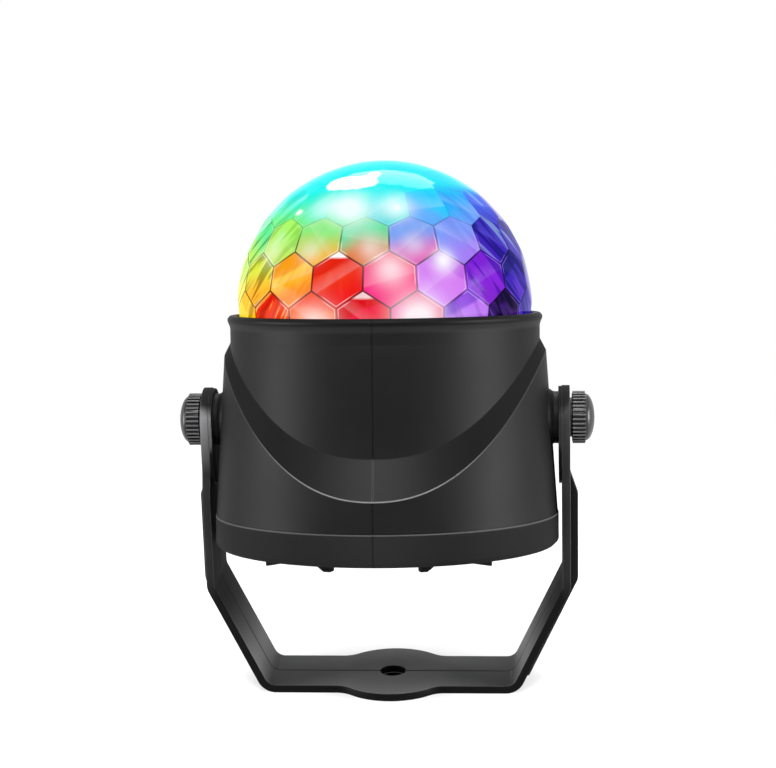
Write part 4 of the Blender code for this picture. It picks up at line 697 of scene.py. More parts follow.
def housing_half(sign):
    """One half with its fittings."""
    joins = [pivot_boss(sign)]
    cuts = [moved(hole_with_chamfer(INSERT_RADIUS + GAP, BOSS_INNER - MM, BOSS_OUTER, CHAMFER),
                  side_place(sign))]
    for angle in POST_ANGLES:
        x, y, _ = around(POST_CIRCLE, sign * angle, 0)
        to_post = Matrix.Translation((x, y, 0))
        joins.append(moved(rod(POST_RADIUS, LEDGE_BOTTOM, POST_TOP), to_post))
        reach = taper_radius(WEB_TOP) - WALL / 2 - POST_CIRCLE
        web = block((0, -WEB_HALF, LEDGE_BOTTOM + MM), (reach, WEB_HALF, WEB_TOP))
        joins.append(moved(web, to_post @ Matrix.Rotation(math.atan2(y, x), 4, "Z")))
        cuts.append(moved(rod(POST_BORE, 0, POST_TOP + MM, 16), to_post))
    cuts.append(back_hole(NOSE_RADIUS + GAP, 0, NOSE_CHAMFER))
    if sign < 0:
        cuts.append(back_hole(BUTTON_RADIUS + GAP, BUTTON_ANGLE, CHAMFER))
    else:
        cuts.append(back_hole(SENSOR_HOLE, SENSOR_ANGLE, SENSOR_CHAMFER))
    return combined(half_wall(sign), joins, cuts)


print("posts stand", round(POST_CIRCLE, 4), "from the middle")


# %% Where a point lies on the housing, as nodes, for painted highlights and painted shade
SHELL_PAINTED_LIGHT, start, end = new_group(
    "shell_painted_light", [("Place", "Vector", (0, 0, 0))],
    [("Bright", "Float"), ("Painted Shade", "Float"), ("Dull", "Float")])
tree = SHELL_PAINTED_LIGHT
upright = add(tree, "ShaderNodeMapping", {
    "Vector": start.outputs[0], "Location": HEAD_PLACE.inverted().translation, "Rotation": (LEAN, 0, 0)})
spot = split(tree, upright.outputs[0])
sideways = unsigned(tree, spot[0])
radius = maths(tree, "SQRT", plus(tree, times(tree, spot[0], spot[0]), times(tree, spot[1], spot[1])))
share = maths(tree, "DIVIDE", sideways, radius)


def above_line(line):
    """Height above a sweeping line, as nodes."""
    front, side_height, power = line
    rise = times(SHELL_PAINTED_LIGHT, maths(SHELL_PAINTED_LIGHT, "POWER", share, power), side_height - front)
    return minus(SHELL_PAINTED_LIGHT, spot[2], plus(SHELL_PAINTED_LIGHT, rise, front))


above_low = above_line(LOWER_LINE)
above_high = above_line(UPPER_LINE)
below_band = minus(tree, BAND_TOP, spot[2])
print("a share of 0 is the front or back, 1 is the side")

# %% Painted highlights and painted shade along the housing's lines: where each fades, and how strong it is
CREST_FADE = in_mm(0.04, 0.24)
FACE_FADE = 0.3 * MM
SEAM_FADE = in_mm(0.2, 0.32)
LIP_GLOW = in_mm(2.9, 2.2, 1, 1.3)
LIP_SHADE = in_mm(1, 0.6)
BAND_GLOW = in_mm(-0.02, 0.08, 0.4, 0.15)
BAND_SHADE = in_mm(0, -0.1, -0.5, -0.2)
BAND_FADE = in_mm(0.3, 0.6)
FACE_DULL = 1.2
# Painted highlight: a pale line along the crest of the lower wall, strongest at the front.
painted_crest_highlight = times(tree, ranged(tree, unsigned(tree, above_low), *CREST_FADE, 0.65, 0.0),
                    ranged(tree, share, 0.3, 0.72, 1.0, 0.1))
on_face = times(tree, ranged(tree, above_low, 0.0, FACE_FADE), ranged(tree, above_high, 0.0, -FACE_FADE))
# Painted shade on the sides of the sloping face, and a painted highlight in its middle.
painted_face_shade = times(tree, on_face, ranged(tree, share, 0.2, 0.6, 0.0, 0.85, smooth=True))
painted_face_highlight = times(tree, on_face, ranged(tree, share, 0.0, 0.4, 0.045, 0.0, smooth=True))
# Painted shade in the seam, and a faint painted highlight where it crosses the sloping face.
on_seam = ranged(tree, sideways, *SEAM_FADE, 1.0, 0.0)
painted_seam_highlight = times(tree, on_seam, on_face, 0.05)
painted_seam_shade = times(tree, on_seam, minus(tree, 1.0, on_face))
# Painted highlight in a band below the lip, and painted shade on the lip's top.
lip_drop = minus(tree, LIP_HEIGHT, spot[2])
painted_lip_highlight = times(tree, ranged(tree, lip_drop, *LIP_GLOW[:2]), ranged(tree, lip_drop, *LIP_GLOW[2:]), 0.03)
painted_lip_shade = ranged(tree, lip_drop, *LIP_SHADE, 0.0, 0.9)
# Painted highlight along the band's top edge, a painted shadow just above it, and a painted sheen on the
# band's front.
painted_band_highlight = times(tree, ranged(tree, below_band, *BAND_GLOW[:2]),
                   ranged(tree, below_band, *BAND_GLOW[2:], 0.0, 0.22))
painted_band_shadow = times(tree, ranged(tree, below_band, *BAND_SHADE[:2]),
                  ranged(tree, below_band, *BAND_SHADE[2:], 0.0, 0.7))
on_band = ranged(tree, below_band, *BAND_FADE)
painted_band_sheen = times(tree, on_band, ranged(tree, share, 0.0, 0.5, 0.025, 0.0, smooth=True))
lights = plus(tree, painted_crest_highlight, painted_seam_highlight, painted_lip_highlight, painted_face_highlight, painted_band_sheen)
fill(tree, end, {"Bright": maths(tree, "ADD", lights, painted_band_highlight, clamp=True),
                 "Painted Shade": largest(tree, painted_seam_shade, painted_lip_shade, painted_band_shadow, painted_face_shade),
                 "Dull": largest(tree, on_band, times(tree, painted_face_shade, FACE_DULL))})
print(SHELL_PAINTED_LIGHT.name, "follows the two sweeping lines, the seam, the lip and the band")

# %% Finish and make the halves, with the painted shade and painted highlights laid over the black
SHADE_TONE = (2, 2, 2)
HIGHLIGHT_TONE = (112, 112, 112)
DULL_SHARE = 0.22
HOUSING_FINISH = grained("housing_black", (7, 7, 8), (11, 11, 12), (26, 26, 27), (0.5, 0.56),
                         grain=2600.0, depth=0.1, width=0.35 * MM, specular=0.07, breakup=0.15)
tree = HOUSING_FINISH.node_tree
lines = grouped(tree, SHELL_PAINTED_LIGHT, {"Place": tree.nodes["Texture Coordinate"].outputs["Object"]})
# Painted shade: the seam, the lip's top, above the band and the sides of the sloping face.
overlaid(HOUSING_FINISH, lines["Painted Shade"], SHADE_TONE)
dulled(HOUSING_FINISH, times(tree, lines["Dull"], DULL_SHARE))
# Painted highlights: the crest, the seam on the sloping face, below the lip, the band and the sloping face's
# middle.
overlaid(HOUSING_FINISH, lines["Bright"], HIGHLIGHT_TONE)
for side, sign in SIDES.items():
    dressed("shell_" + side, housing_half(sign), HOUSING_FINISH, "head", ["housing_" + side])

# %% [markdown]
# ## Crystal dome
#
# The dome is a ball's upper part with flat facets, in rows that are turned by half a
# facet against each other. Each facet lies in a plane that touches the same ball.
#
# The planes could be cut one by one from a block. Geometry Nodes can do it at once
# with a neat rule of mirrors: put a point along each plane's direction, at one over
# its distance, and wrap all points in a convex hull. Every face of that hull stands
# for one corner of the dome, so the dual mesh of the hull is the dome itself.

# %% Sizes of the dome
LIP_FIT_SHARE = 0.9756
FACET_RADIUS = LIP_INNER * LIP_FIT_SHARE
DOME_CENTRE = HEAD_TOP - FACET_RADIUS
CARRIER_TOP = 47.7 * MM
RIM_DROP = DOME_CENTRE - CARRIER_TOP
DOME_WALL = 2.2 * MM
HOLLOW_RADIUS = FACET_RADIUS - DOME_WALL
ROW_FACETS = 18
ROW_TURN = math.radians(6.7)
FULL_ROWS = (-19.0, -4.0, 11.3, 26.5, 42.0)
CROWN_ROWS = ((57.5, 12), (73.0, 6))
DOME_PLACE = HEAD_PLACE @ Matrix.Translation((0, 0, DOME_CENTRE))


# %% One row of directions, as a node group
def new_tree(name, inputs):
    """A geometry node group with named inputs and one geometry output."""
    tree = bpy.data.node_groups.new(name, "GeometryNodeTree")
    for title, kind, value in inputs:
        made = tree.interface.new_socket(name=title, in_out="INPUT", socket_type="NodeSocket" + kind)
        if value is not None:
            made.default_value = value
    tree.interface.new_socket(name="Geometry", in_out="OUTPUT", socket_type="NodeSocketGeometry")
    return tree, tree.nodes.new("NodeGroupInput"), tree.nodes.new("NodeGroupOutput")


ROW_TREE, start, end = new_tree("facet_row", [
    ("Count", "Int", ROW_FACETS), ("Latitude", "Float", 0.0), ("Turn", "Float", 0.0),
    ("Distance", "Float", 1.0)])
tree = ROW_TREE
count = start.outputs["Count"]
index = add(tree, "GeometryNodeInputIndex").outputs[0]
pitch = maths(tree, "DIVIDE", math.tau, count)
longitude = plus(tree, start.outputs["Turn"], times(tree, index, pitch))
level = maths(tree, "COSINE", start.outputs["Latitude"])
direction = add(tree, "ShaderNodeCombineXYZ", {
    0: times(tree, level, maths(tree, "SINE", longitude)),
    1: times(tree, level, maths(tree, "COSINE", longitude), -1.0),
    2: maths(tree, "SINE", start.outputs["Latitude"])}).outputs[0]
spots = add(tree, "GeometryNodePoints", {"Count": count}).outputs[0]
reached = scaled(tree, direction, maths(tree, "DIVIDE", 1.0, start.outputs["Distance"]))
placed = add(tree, "GeometryNodeSetPosition", {"Geometry": spots, "Position": reached})
fill(tree, end, {0: placed.outputs[0]})
print(ROW_TREE.name, "puts one point along each facet's direction")

# %% The dome's tree: all rows of directions
DOME_TREE, start, end = new_tree("crystal_facets", [
    ("Geometry", "Geometry", None), ("Facet Radius", "Float", 0.036), ("Rim Drop", "Float", 0.011),
    ("Border", "Float", 0.9), ("Crease", "Float", 0.0001), ("Swell", "Float", 0.4), ("Seed", "Int", 7),
    ("Finish", "Material", None)])
tree = DOME_TREE
directions = [(latitude, ROW_FACETS, ROW_TURN - math.pi / ROW_FACETS * (number % 2), "Facet Radius")
              for number, latitude in enumerate(FULL_ROWS)]
directions += [(latitude, facets, ROW_TURN + math.pi / facets, "Facet Radius")
               for latitude, facets in CROWN_ROWS]
directions += [(90, 1, 0.0, "Facet Radius"), (-90, 1, 0.0, "Rim Drop")]
rows = add(tree, "GeometryNodeJoinGeometry")
for latitude, facets, turn, distance in directions:
    row = add(tree, "GeometryNodeGroup", {
        "Count": facets, "Latitude": math.radians(latitude), "Turn": turn,
        "Distance": start.outputs[distance]}, node_tree=ROW_TREE)
    tree.links.new(row.outputs[0], rows.inputs[0])
print(len(directions), "rows of directions, with", sum(row[1] for row in directions), "planes")

# %% The dome's tree: hull and dual
WELD = 0.02 * MM
hull = add(tree, "GeometryNodeConvexHull", {0: rows.outputs[0]}).outputs[0]
normal = add(tree, "GeometryNodeInputNormal").outputs[0]
position = add(tree, "GeometryNodeInputPosition").outputs[0]
corner = scaled(tree, normal, maths(tree, "DIVIDE", 1.0, dot(tree, normal, position)))
capture = add(tree, "GeometryNodeCaptureAttribute", domain="FACE")
capture.capture_items.new("VECTOR", "Corner")
fill(tree, capture, {0: hull, 1: corner})
dual = add(tree, "GeometryNodeDualMesh", {0: capture.outputs[0]}).outputs[0]
solid = add(tree, "GeometryNodeSetPosition", {"Geometry": dual, "Position": capture.outputs[1]}).outputs[0]
welded = add(tree, "GeometryNodeMergeByDistance", {"Geometry": solid, "Distance": WELD}).outputs[0]
print("corners closer than", WELD, "are welded")

# %% The dome's tree: what each facet knows, and its creased border
chance = add(tree, "FunctionNodeRandomValue", {"Seed": start.outputs["Seed"]}, data_type="FLOAT")
named = welded
for title, kind, value in (("facet_centre", "FLOAT_VECTOR", position),
                           ("facet_chance", "FLOAT", chance.outputs[1])):
    named = add(tree, "GeometryNodeStoreNamedAttribute", {"Geometry": named, "Name": title, "Value": value},
                data_type=kind, domain="FACE").outputs[0]
facing = split(tree, normal)[2]
under = add(tree, "FunctionNodeCompare", {0: facing, 1: -0.99}, operation="LESS_THAN").outputs[0]
shell = add(tree, "GeometryNodeDeleteGeometry", {0: named, 1: under}, domain="FACE").outputs[0]
inset = add(tree, "GeometryNodeExtrudeMesh", {"Mesh": shell, "Offset Scale": 0.0}, mode="FACES")
shrunk = add(tree, "GeometryNodeScaleElements", {
    "Geometry": inset.outputs["Mesh"], "Selection": inset.outputs["Top"],
    "Scale": start.outputs["Border"]}, domain="FACE").outputs[0]
marked = add(tree, "GeometryNodeStoreNamedAttribute", {
    "Geometry": shrunk, "Name": "inside_facet", "Value": inset.outputs["Top"]},
    data_type="FLOAT", domain="POINT").outputs[0]
creases = add(tree, "FunctionNodeBooleanMath", {0: inset.outputs["Top"]}, operation="NOT").outputs[0]
inwards = scaled(tree, vector_maths(tree, "NORMALIZE", position), times(tree, start.outputs["Crease"], -1.0))
creased = add(tree, "GeometryNodeSetPosition", {
    "Geometry": marked, "Selection": creases, "Offset": inwards}).outputs[0]
print("each facet carries its centre, a chance value and a border")

# %% The dome's tree: swell the facets, smooth the crown, and finish
fine = add(tree, "GeometryNodeSubdivideMesh", {"Mesh": creased, "Level": 2}).outputs[0]
distance = length_of(tree, position)
steepness = maths(tree, "DIVIDE", split(tree, position)[2], distance)
upper_growth = ranged(tree, steepness, 0.3, 0.95, 1.028, 0.999)
lower_growth = ranged(tree, steepness, -0.12, 0.04, 0.985, 1.0)
wanted = times(tree, start.outputs["Facet Radius"], times(tree, upper_growth, lower_growth))
pull = ranged(tree, steepness, 0.68, 0.9, start.outputs["Swell"], 1.0)
growth = times(tree, pull, minus(tree, maths(tree, "DIVIDE", wanted, distance), 1.0))
swollen = add(tree, "GeometryNodeSetPosition", {
    "Geometry": fine, "Offset": scaled(tree, position, growth)}).outputs[0]


def finished(tree, geometry, start, end):
    """End a tree: make its copies real and set its material."""
    real = add(tree, "GeometryNodeRealizeInstances", {0: geometry}).outputs[0]
    painted = add(tree, "GeometryNodeSetMaterial", {"Geometry": real, "Material": start.outputs["Finish"]})
    fill(tree, end, {0: painted.outputs[0]})
    print(tree.name, "has", len(tree.nodes), "nodes")


finished(DOME_TREE, swollen, start, end)

# %% [markdown]
# ## Light inside the dome
#
# The dome is clear, and what shows in it is the light of coloured lamps, bent by the
# facets. Each facet acts as a lens: its colour jumps at its borders, runs from one
# tone at its top to another at its foot, and breaks into streaks where the dome
# turns away. On the crown the facets melt into one even glow.
#
# Real refraction would need long renders. So this light is painted as a glow: a few
# coloured lamp spots are listed round the dome, and each facet looks at them in its own
# direction: a little higher for its upper tone and a little lower for its lower tone.
# The facet carries both tones as attributes, and the finish paints them as a glow: a
# gradient with a painted dark band, a painted pale fold, streaks and fine border lines.

# %% The painted lamps: a palette, and the longitudes and latitudes where each colour stands
PALETTE = {
    "turquoise": (0, 236, 232), "sky": (30, 190, 240), "blue": (50, 100, 235), "periwinkle": (140, 140, 235),
    "indigo": (50, 22, 170), "night": (10, 6, 44), "violet": (130, 30, 210), "lilac": (206, 130, 240),
    "rose": (240, 24, 130), "red": (226, 0, 20), "orange": (250, 132, 16), "yellow": (254, 226, 40),
    "lime": (160, 240, 100), "green": (70, 230, 140)}
PAINTED_LAMP_SPOTS = {
    "turquoise": [(0, 90), (-20, 60), (-70, 48), (12, 48), (-20, 42), (4, 38), (120, 58), (-120, 58),
                  (180, 62)],
    "sky": [(38, 46), (26, 37), (140, 30)],
    "blue": [(60, 44), (112, 8)],
    "periwinkle": [(34, 28), (16, 30)],
    "indigo": [(66, 24), (78, 2), (94, 30)],
    "night": [(56, -10)],
    "violet": [(47, 5), (44, -12)],
    "lilac": [(28, 8), (34, -6)],
    "rose": [(9, 4), (11, -5), (13, 13)],
    "red": [(-13, 8), (-13, 12), (-3, -9), (-46, -7)],
    "orange": [(-36, 5), (-22, -8), (-5, 16)],
    "yellow": [(-80, 4), (-70, -8), (-57, 9), (-63, 2), (-28, 20), (-24, 17), (-132, 8)],
    "lime": [(-48, 20), (-78, 18), (-160, 10)],
    "green": [(-66, 30), (-24, 31), (-4, 29), (165, 12), (-120, 26)]}
LAMP_FOCUS = 70


def on_sphere(longitude, latitude):
    """Direction from the dome's centre in the dome's own frame, 0 degrees being the front."""
    level = math.cos(math.radians(latitude))
    return Vector(around(level, math.radians(longitude), math.sin(math.radians(latitude))))


def painted_lamp_light(longitude, latitude):
    """Colour of the painted light from one direction: the painted lamp spots near it, blended."""
    looking = on_sphere(longitude, latitude)
    total = Vector((0, 0, 0))
    weights = 0
    for title, spots in PAINTED_LAMP_SPOTS.items():
        for spot in spots:
            weight = math.exp(LAMP_FOCUS * (looking.dot(on_sphere(*spot)) - 1))
            total += Vector(PALETTE[title]) * weight
            weights += weight
    return tuple(total / weights)


print(sum(len(spots) for spots in PAINTED_LAMP_SPOTS.values()), "lamps in", len(PALETTE), "colours")

# %% What one facet sees: its two tones of painted light, and its painted white glint at the tip
LOOK_UP = 2
LOOK_DOWN = -9
FRONT_SPAN = 95
FRONT_BEND = 2
BACK_BEND = 14
BEND_WAVES = (12.9, 4.7)
PAINTED_GLINT_TIPS = [(11.3, -13, 0.95), (-4.0, -3, 0.6), (26.5, 77, 0.4), (11.3, 107, 0.5), (26.5, 150, 0.4)]
TIP_REACH = 8


def facet_spot(centre):
    """Latitude and longitude of a facet's centre, in degrees."""
    return (math.degrees(math.atan2(centre.z, math.hypot(centre.x, centre.y))),
            math.degrees(math.atan2(centre.x, -centre.y)))


def glint_share(centre):
    """How strong the painted white glint on the upper tip of the facet with this centre is."""
    latitude, longitude = facet_spot(centre)
    return max((share for row, column, share in PAINTED_GLINT_TIPS
                if abs(row - latitude) < TIP_REACH and abs(column - longitude) < TIP_REACH), default=0.0)


def facet_tones(centre):
    """Upper and lower tone of painted light of the facet with this centre. Each facet is bent a little its
    own way.
    """
    latitude, longitude = facet_spot(centre)
    most = FRONT_BEND if abs(longitude) < FRONT_SPAN else BACK_BEND
    seen = longitude + math.sin(longitude * BEND_WAVES[0] + latitude * BEND_WAVES[1]) * most
    return painted_lamp_light(seen, latitude + LOOK_UP), painted_lamp_light(seen, latitude + LOOK_DOWN)


print("a facet looks", LOOK_UP, "degrees up and", -LOOK_DOWN, "degrees down")

# %% Where a point lies inside its facet
FACET_HALF = 6.2 * MM
DOME_MIDDLE = DOME_PLACE @ Vector((0, 0, 0))
DOME_AXIS = HEAD_PLACE.to_3x3() @ Vector((0, 0, 1))
LENS, start, end = new_group(
    "facet_lens", [("Place", "Vector", (0, 0, 0)), ("Centre", "Vector", (0, 0, 1)), ("Chance", "Float", 0.0)],
    [("Across", "Float"), ("Up", "Float"), ("Luck", "Vector"), ("Side", "Float"), ("Height", "Float")])
from_axis = vector_maths(LENS, "SUBTRACT", start.outputs["Centre"], DOME_MIDDLE)
outward = vector_maths(LENS, "NORMALIZE", from_axis)
east = vector_maths(LENS, "NORMALIZE", vector_maths(LENS, "CROSS_PRODUCT", DOME_AXIS, outward))
north = vector_maths(LENS, "CROSS_PRODUCT", outward, east)
inner = vector_maths(LENS, "SUBTRACT", start.outputs["Place"], start.outputs["Centre"])
from_middle = vector_maths(LENS, "SUBTRACT", start.outputs["Place"], DOME_MIDDLE)
fill(LENS, end, {
    "Across": maths(LENS, "DIVIDE", dot(LENS, inner, east), FACET_HALF),
    "Up": maths(LENS, "DIVIDE", dot(LENS, inner, north), FACET_HALF),
    "Luck": add(LENS, "ShaderNodeTexWhiteNoise", {"W": start.outputs["Chance"]},
                noise_dimensions="1D").outputs["Color"],
    "Side": dot(LENS, outward, (1, 0, 0)),
    "Height": maths(LENS, "DIVIDE", dot(LENS, from_middle, DOME_AXIS), FACET_RADIUS)})
print(LENS.name, "gives", outputs_of(LENS))

# %% The painted glare patch on the crown, and painted veils of light: longitude, latitude, sharpness and strength
GLARE_PATCH_SPOTS = [(-29, 55, 330, 1), (-22, 56, 300, 1), (-14, 55.5, 300, 1), (-5, 56.5, 330, 0.9),
               (-2, 63, 700, 0.9), (11, 41, 900, 0.7), (-41, 39, 700, 0.7)]
VEIL_SPOTS = [(-14, 42, 130, 0.9), (-8, 37, 120, 0.5), (-27, 41, 200, 0.5), (11, 41, 190, 0.9),
              (28, 17.8, 340, 1.0), (7, 15, 170, 0.75), (17, -4, 80, 1.2), (-22, -7, 110, 0.9),
              (36, -9, 260, 0.5), (-26, 22, 320, 0.4), (-1, 23, 320, 0.45), (17, 24, 320, 0.4),
              (-47, 22, 260, 0.4)]
GLARE, start, end = new_group("crown_glare", [("Place", "Vector", (0, 0, 1))],
                              [("Patch", "Float"), ("Veil", "Float")])
towards = vector_maths(GLARE, "NORMALIZE", vector_maths(GLARE, "SUBTRACT", start.outputs[0], DOME_MIDDLE))


def spots_of_light(spots, total):
    """Soft round spots on the dome, added up, as nodes."""
    for longitude, latitude, sharpness, strength in spots:
        direction = HEAD_PLACE.to_3x3() @ on_sphere(longitude, latitude)
        nearness = minus(GLARE, dot(GLARE, towards, direction), 1.0)
        falloff = maths(GLARE, "EXPONENT", times(GLARE, nearness, float(sharpness)))
        total = plus(GLARE, times(GLARE, falloff, float(strength)), total)
    return total


wobble = times(GLARE, minus(GLARE, noise(GLARE, start.outputs[0], 500.0, 3.0), 0.5), 0.5)
patch = ranged(GLARE, spots_of_light(GLARE_PATCH_SPOTS, wobble), 0.45, 0.75, smooth=True)
veil = spots_of_light(VEIL_SPOTS, 0.0)
fill(GLARE, end, {"Patch": maths(GLARE, "MINIMUM", patch, 1.0), "Veil": maths(GLARE, "MINIMUM", veil, 1.0)})
print(GLARE.name, "has", len(GLARE_PATCH_SPOTS) + len(VEIL_SPOTS), "spots")

# %% The crystal's finish: what it reads
CRYSTAL_FINISH, tree, shader, place = new_material("crystal_lit")


def carried(tree, title, output="Fac"):
    """An attribute that the dome's mesh carries."""
    return add(tree, "ShaderNodeAttribute", attribute_name=title).outputs[output]


chance = carried(tree, "facet_chance")
lens = grouped(tree, LENS, {
    "Place": place, "Centre": carried(tree, "facet_centre", "Vector"), "Chance": chance})
across = lens["Across"]
upward = lens["Up"]
height = lens["Height"]
to_right = lens["Side"]
side = unsigned(tree, to_right)
luck = split(tree, lens["Luck"])
print(CRYSTAL_FINISH.name, "reads", outputs_of(LENS), "for every point")

# %% A gradient of painted light in each facet, its painted dark band and its painted pale fold
SWIRL_SCALE = 110.0
swirl = times(tree, minus(tree, noise(tree, place, SWIRL_SCALE, 1.0), 0.5), 0.9)
lean = plus(tree, upward, times(tree, across, ranged(tree, luck[0], 0.0, 1.0, -0.7, 0.7)), swirl)
colour = blend(tree, ranged(tree, lean, -0.85, 0.5, smooth=True), carried(tree, "lower_tone", "Color"),
               carried(tree, "upper_tone", "Color"))
deep = tinted(tree, colour, colour)
# Painted shade: a dark band near the top of each facet in the lower rows.
lower_rows = ranged(tree, height, 0.38, 0.5, 1.0, 0.0)
band = times(tree, ranged(tree, lean, 0.35, 0.55, smooth=True), ranged(tree, luck[1], 0.2, 0.7, 0.25, 0.9))
colour = blend(tree, times(tree, band, lower_rows), colour, deep)
fold = plus(tree, times(tree, across, ranged(tree, luck[2], 0.0, 1.0, -1.2, 1.2)), upward)
# Painted highlight: a pale fold across each facet, stronger in front.
painted_fold_highlight = times(tree, ranged(tree, fold, -0.1, 0.0), ranged(tree, fold, 0.6, 0.0),
                  ranged(tree, side, 0.5, 0.8, 0.09, 0.012))
colour = blend(tree, painted_fold_highlight, colour, WHITE)
print("gradient, band and fold make", len(tree.nodes), "nodes")

# %% Painted white glints at the tips, and slanted streaks of painted light
TIP_CURVE = 0.12
GLINT_TONE = (1, 0.97, 0.98, 1)
DEEP_TONE = (0.5, 0.5, 0.8, 1)
# Painted glint: a white tip at the top of the listed facets.
tip = ranged(tree, minus(tree, upward, times(tree, across, across, TIP_CURVE)), 0.76, 0.86)
colour = blend(tree, times(tree, tip, carried(tree, "white_tip")), colour, GLINT_TONE)
slanted = plus(tree, times(tree, across, 1.5), times(tree, upward, to_right, 1.6))
streak_place = add(tree, "ShaderNodeCombineXYZ", {
    0: slanted, 1: times(tree, upward, 0.35), 2: times(tree, chance, 9.0)}).outputs[0]
streaks = noise(tree, streak_place, 1.5, 1.0, 0.4, 0.6)
at_side = ranged(tree, side, 0.45, 0.85, 0.06, 1.0, smooth=True)
# Painted light: dark and light streaks in the facets towards the sides.
dark_streaks = times(tree, ranged(tree, streaks, 0.36, 0.48, 0.9, 0.0, smooth=True), at_side)
light_streaks = times(tree, ranged(tree, streaks, 0.58, 0.66, 0.0, 0.6, smooth=True), at_side,
                      ranged(tree, to_right, -0.2, 0.8, 1.0, 0.45))
colour = blend(tree, dark_streaks, colour, tinted(tree, deep, DEEP_TONE))
warm_or_cold = blend(tree, ranged(tree, to_right, -0.6, 0.6), rgb(255, 232, 90), rgb(140, 84, 250))
pale = blend(tree, ranged(tree, height, 0.2, 0.5), warm_or_cold, rgb(196, 246, 240))
colour = blend(tree, light_streaks, colour, pale)
print("tips and streaks bring it to", len(tree.nodes), "nodes")

# %% The even painted glow of the crown
MOTTLE_SCALE = 900.0
CROWN_HEIGHTS = (0.72, 0.84)
mottle = ranged(tree, noise(tree, place, MOTTLE_SCALE, 3.0, 0.7), 0.4, 0.7, 0.0, 0.35)
turquoise = blend(tree, mottle, rgb(0, 236, 236), rgb(0, 204, 214))
crown = ranged(tree, height, *CROWN_HEIGHTS, smooth=True)
colour = blend(tree, times(tree, crown, 0.8), colour, turquoise)
print("the crown glows above", CROWN_HEIGHTS[0], "of the dome's radius")

# %% Painted border lines, the painted glare patch and veils, and the sockets they feed
PATCHY_SCALE = 130.0
STREAK_HEIGHT = 0.2 * MM
BORDER_SHADE_TONE = (0.12, 0.1, 0.14, 1)
VEIL_TONE = (0.95, 1, 1, 1)
GLARE_PATCH_TONE = (0.97, 1, 1, 1)
BODY_TONE = (0.04, 0.04, 0.04, 1)
inside = carried(tree, "inside_facet")
fading = ranged(tree, height, 0.42, 0.66, 1.0, 0.0)
patchy = noise(tree, place, PATCHY_SCALE, 1.0)
# Painted shade and painted highlights: a dark line and a pale line along each facet's border, fading towards
# the crown.
painted_border_shade = times(tree, ranged(tree, inside, 0.15, 0.55, 1.0, 0.0), fading,
                  ranged(tree, patchy, 0.35, 0.55, 0.4, 1.0))
painted_border_highlight = times(tree, ranged(tree, inside, 0.5, 0.75), ranged(tree, inside, 0.999, 0.8, 0.0, 0.7), fading,
                   ranged(tree, patchy, 0.4, 0.5, 0.8, 0.0))
colour = blend(tree, painted_border_shade, colour, tinted(tree, deep, BORDER_SHADE_TONE))
border_highlight_tone = blend(tree, ranged(tree, to_right, 0.3, 0.7), WHITE, rgb(176, 140, 255))
colour = blend(tree, painted_border_highlight, colour, border_highlight_tone)
glare = grouped(tree, GLARE, {"Place": place})
# Painted veils of white light and a painted glare patch on the crown.
colour = blend(tree, times(tree, glare["Veil"], 0.8), colour, VEIL_TONE)
colour = blend(tree, glare["Patch"], colour, GLARE_PATCH_TONE)
# The painted light shows as the dome's glow, its emission.
fill(tree, shader, {
    "Emission Color": colour, "Emission Strength": 1.0, "Base Color": tinted(tree, colour, BODY_TONE),
    "Roughness": ranged(tree, streaks, 0.2, 0.8, 0.05, 0.12), "Specular IOR Level": 0.02})
bumped(tree, shader, streaks, 0.1, STREAK_HEIGHT)
print(CRYSTAL_FINISH.name, "has", len(tree.nodes), "nodes")


# %% Helpers to make the dome
HOLLOW_SEGMENTS = 72
HOLLOW_ROWS = 16


def grown(tree, base, inputs):
    """The mesh that a geometry tree makes from a base object. Inputs are set by identifier."""
    modifier = base.modifiers.new(tree.name, "NODES")
    modifier.node_group = tree
    for item in tree.interface.items_tree:
        if item.item_type == "SOCKET" and item.in_out == "INPUT" and item.name in inputs:
            modifier[item.identifier] = inputs[item.name]
    return evaluated_mesh(base)


def hollowed(mesh):
    """Line the open dome with a round hollow."""
    shape = bmesh.new()
    shape.from_mesh(mesh)
    edge_of_floor = [edge for edge in shape.edges if edge.is_boundary]
    lowest = math.asin(-RIM_DROP / HOLLOW_RADIUS)
    rows = []
    for step in range(HOLLOW_ROWS):
        angle = lowest + (math.pi / 2 - lowest) * step / HOLLOW_ROWS
        ring = [polar(HOLLOW_RADIUS * math.cos(angle), math.tau * index / HOLLOW_SEGMENTS)
                for index in range(HOLLOW_SEGMENTS)]
        rows.append([shape.verts.new((x, y, HOLLOW_RADIUS * math.sin(angle))) for x, y in ring])
    top = shape.verts.new((0, 0, HOLLOW_RADIUS))
    for row, following in zip(rows, rows[1:]):
        for index in range(HOLLOW_SEGMENTS):
            after = (index + 1) % HOLLOW_SEGMENTS
            shape.faces.new((row[index], row[after], following[after], following[index]))
    for index in range(HOLLOW_SEGMENTS):
        shape.faces.new((rows[-1][index], rows[-1][(index + 1) % HOLLOW_SEGMENTS], top))
    outer_edges = set(edge_of_floor)
    mouth = [edge for edge in shape.edges if edge.is_boundary and edge not in outer_edges]
    bmesh.ops.bridge_loops(shape, edges=edge_of_floor + mouth)
    bmesh.ops.recalc_face_normals(shape, faces=shape.faces)
    shape.to_mesh(mesh)
    shape.free()
    return mesh


print("the hollow has", HOLLOW_ROWS, "rows of", HOLLOW_SEGMENTS, "faces")

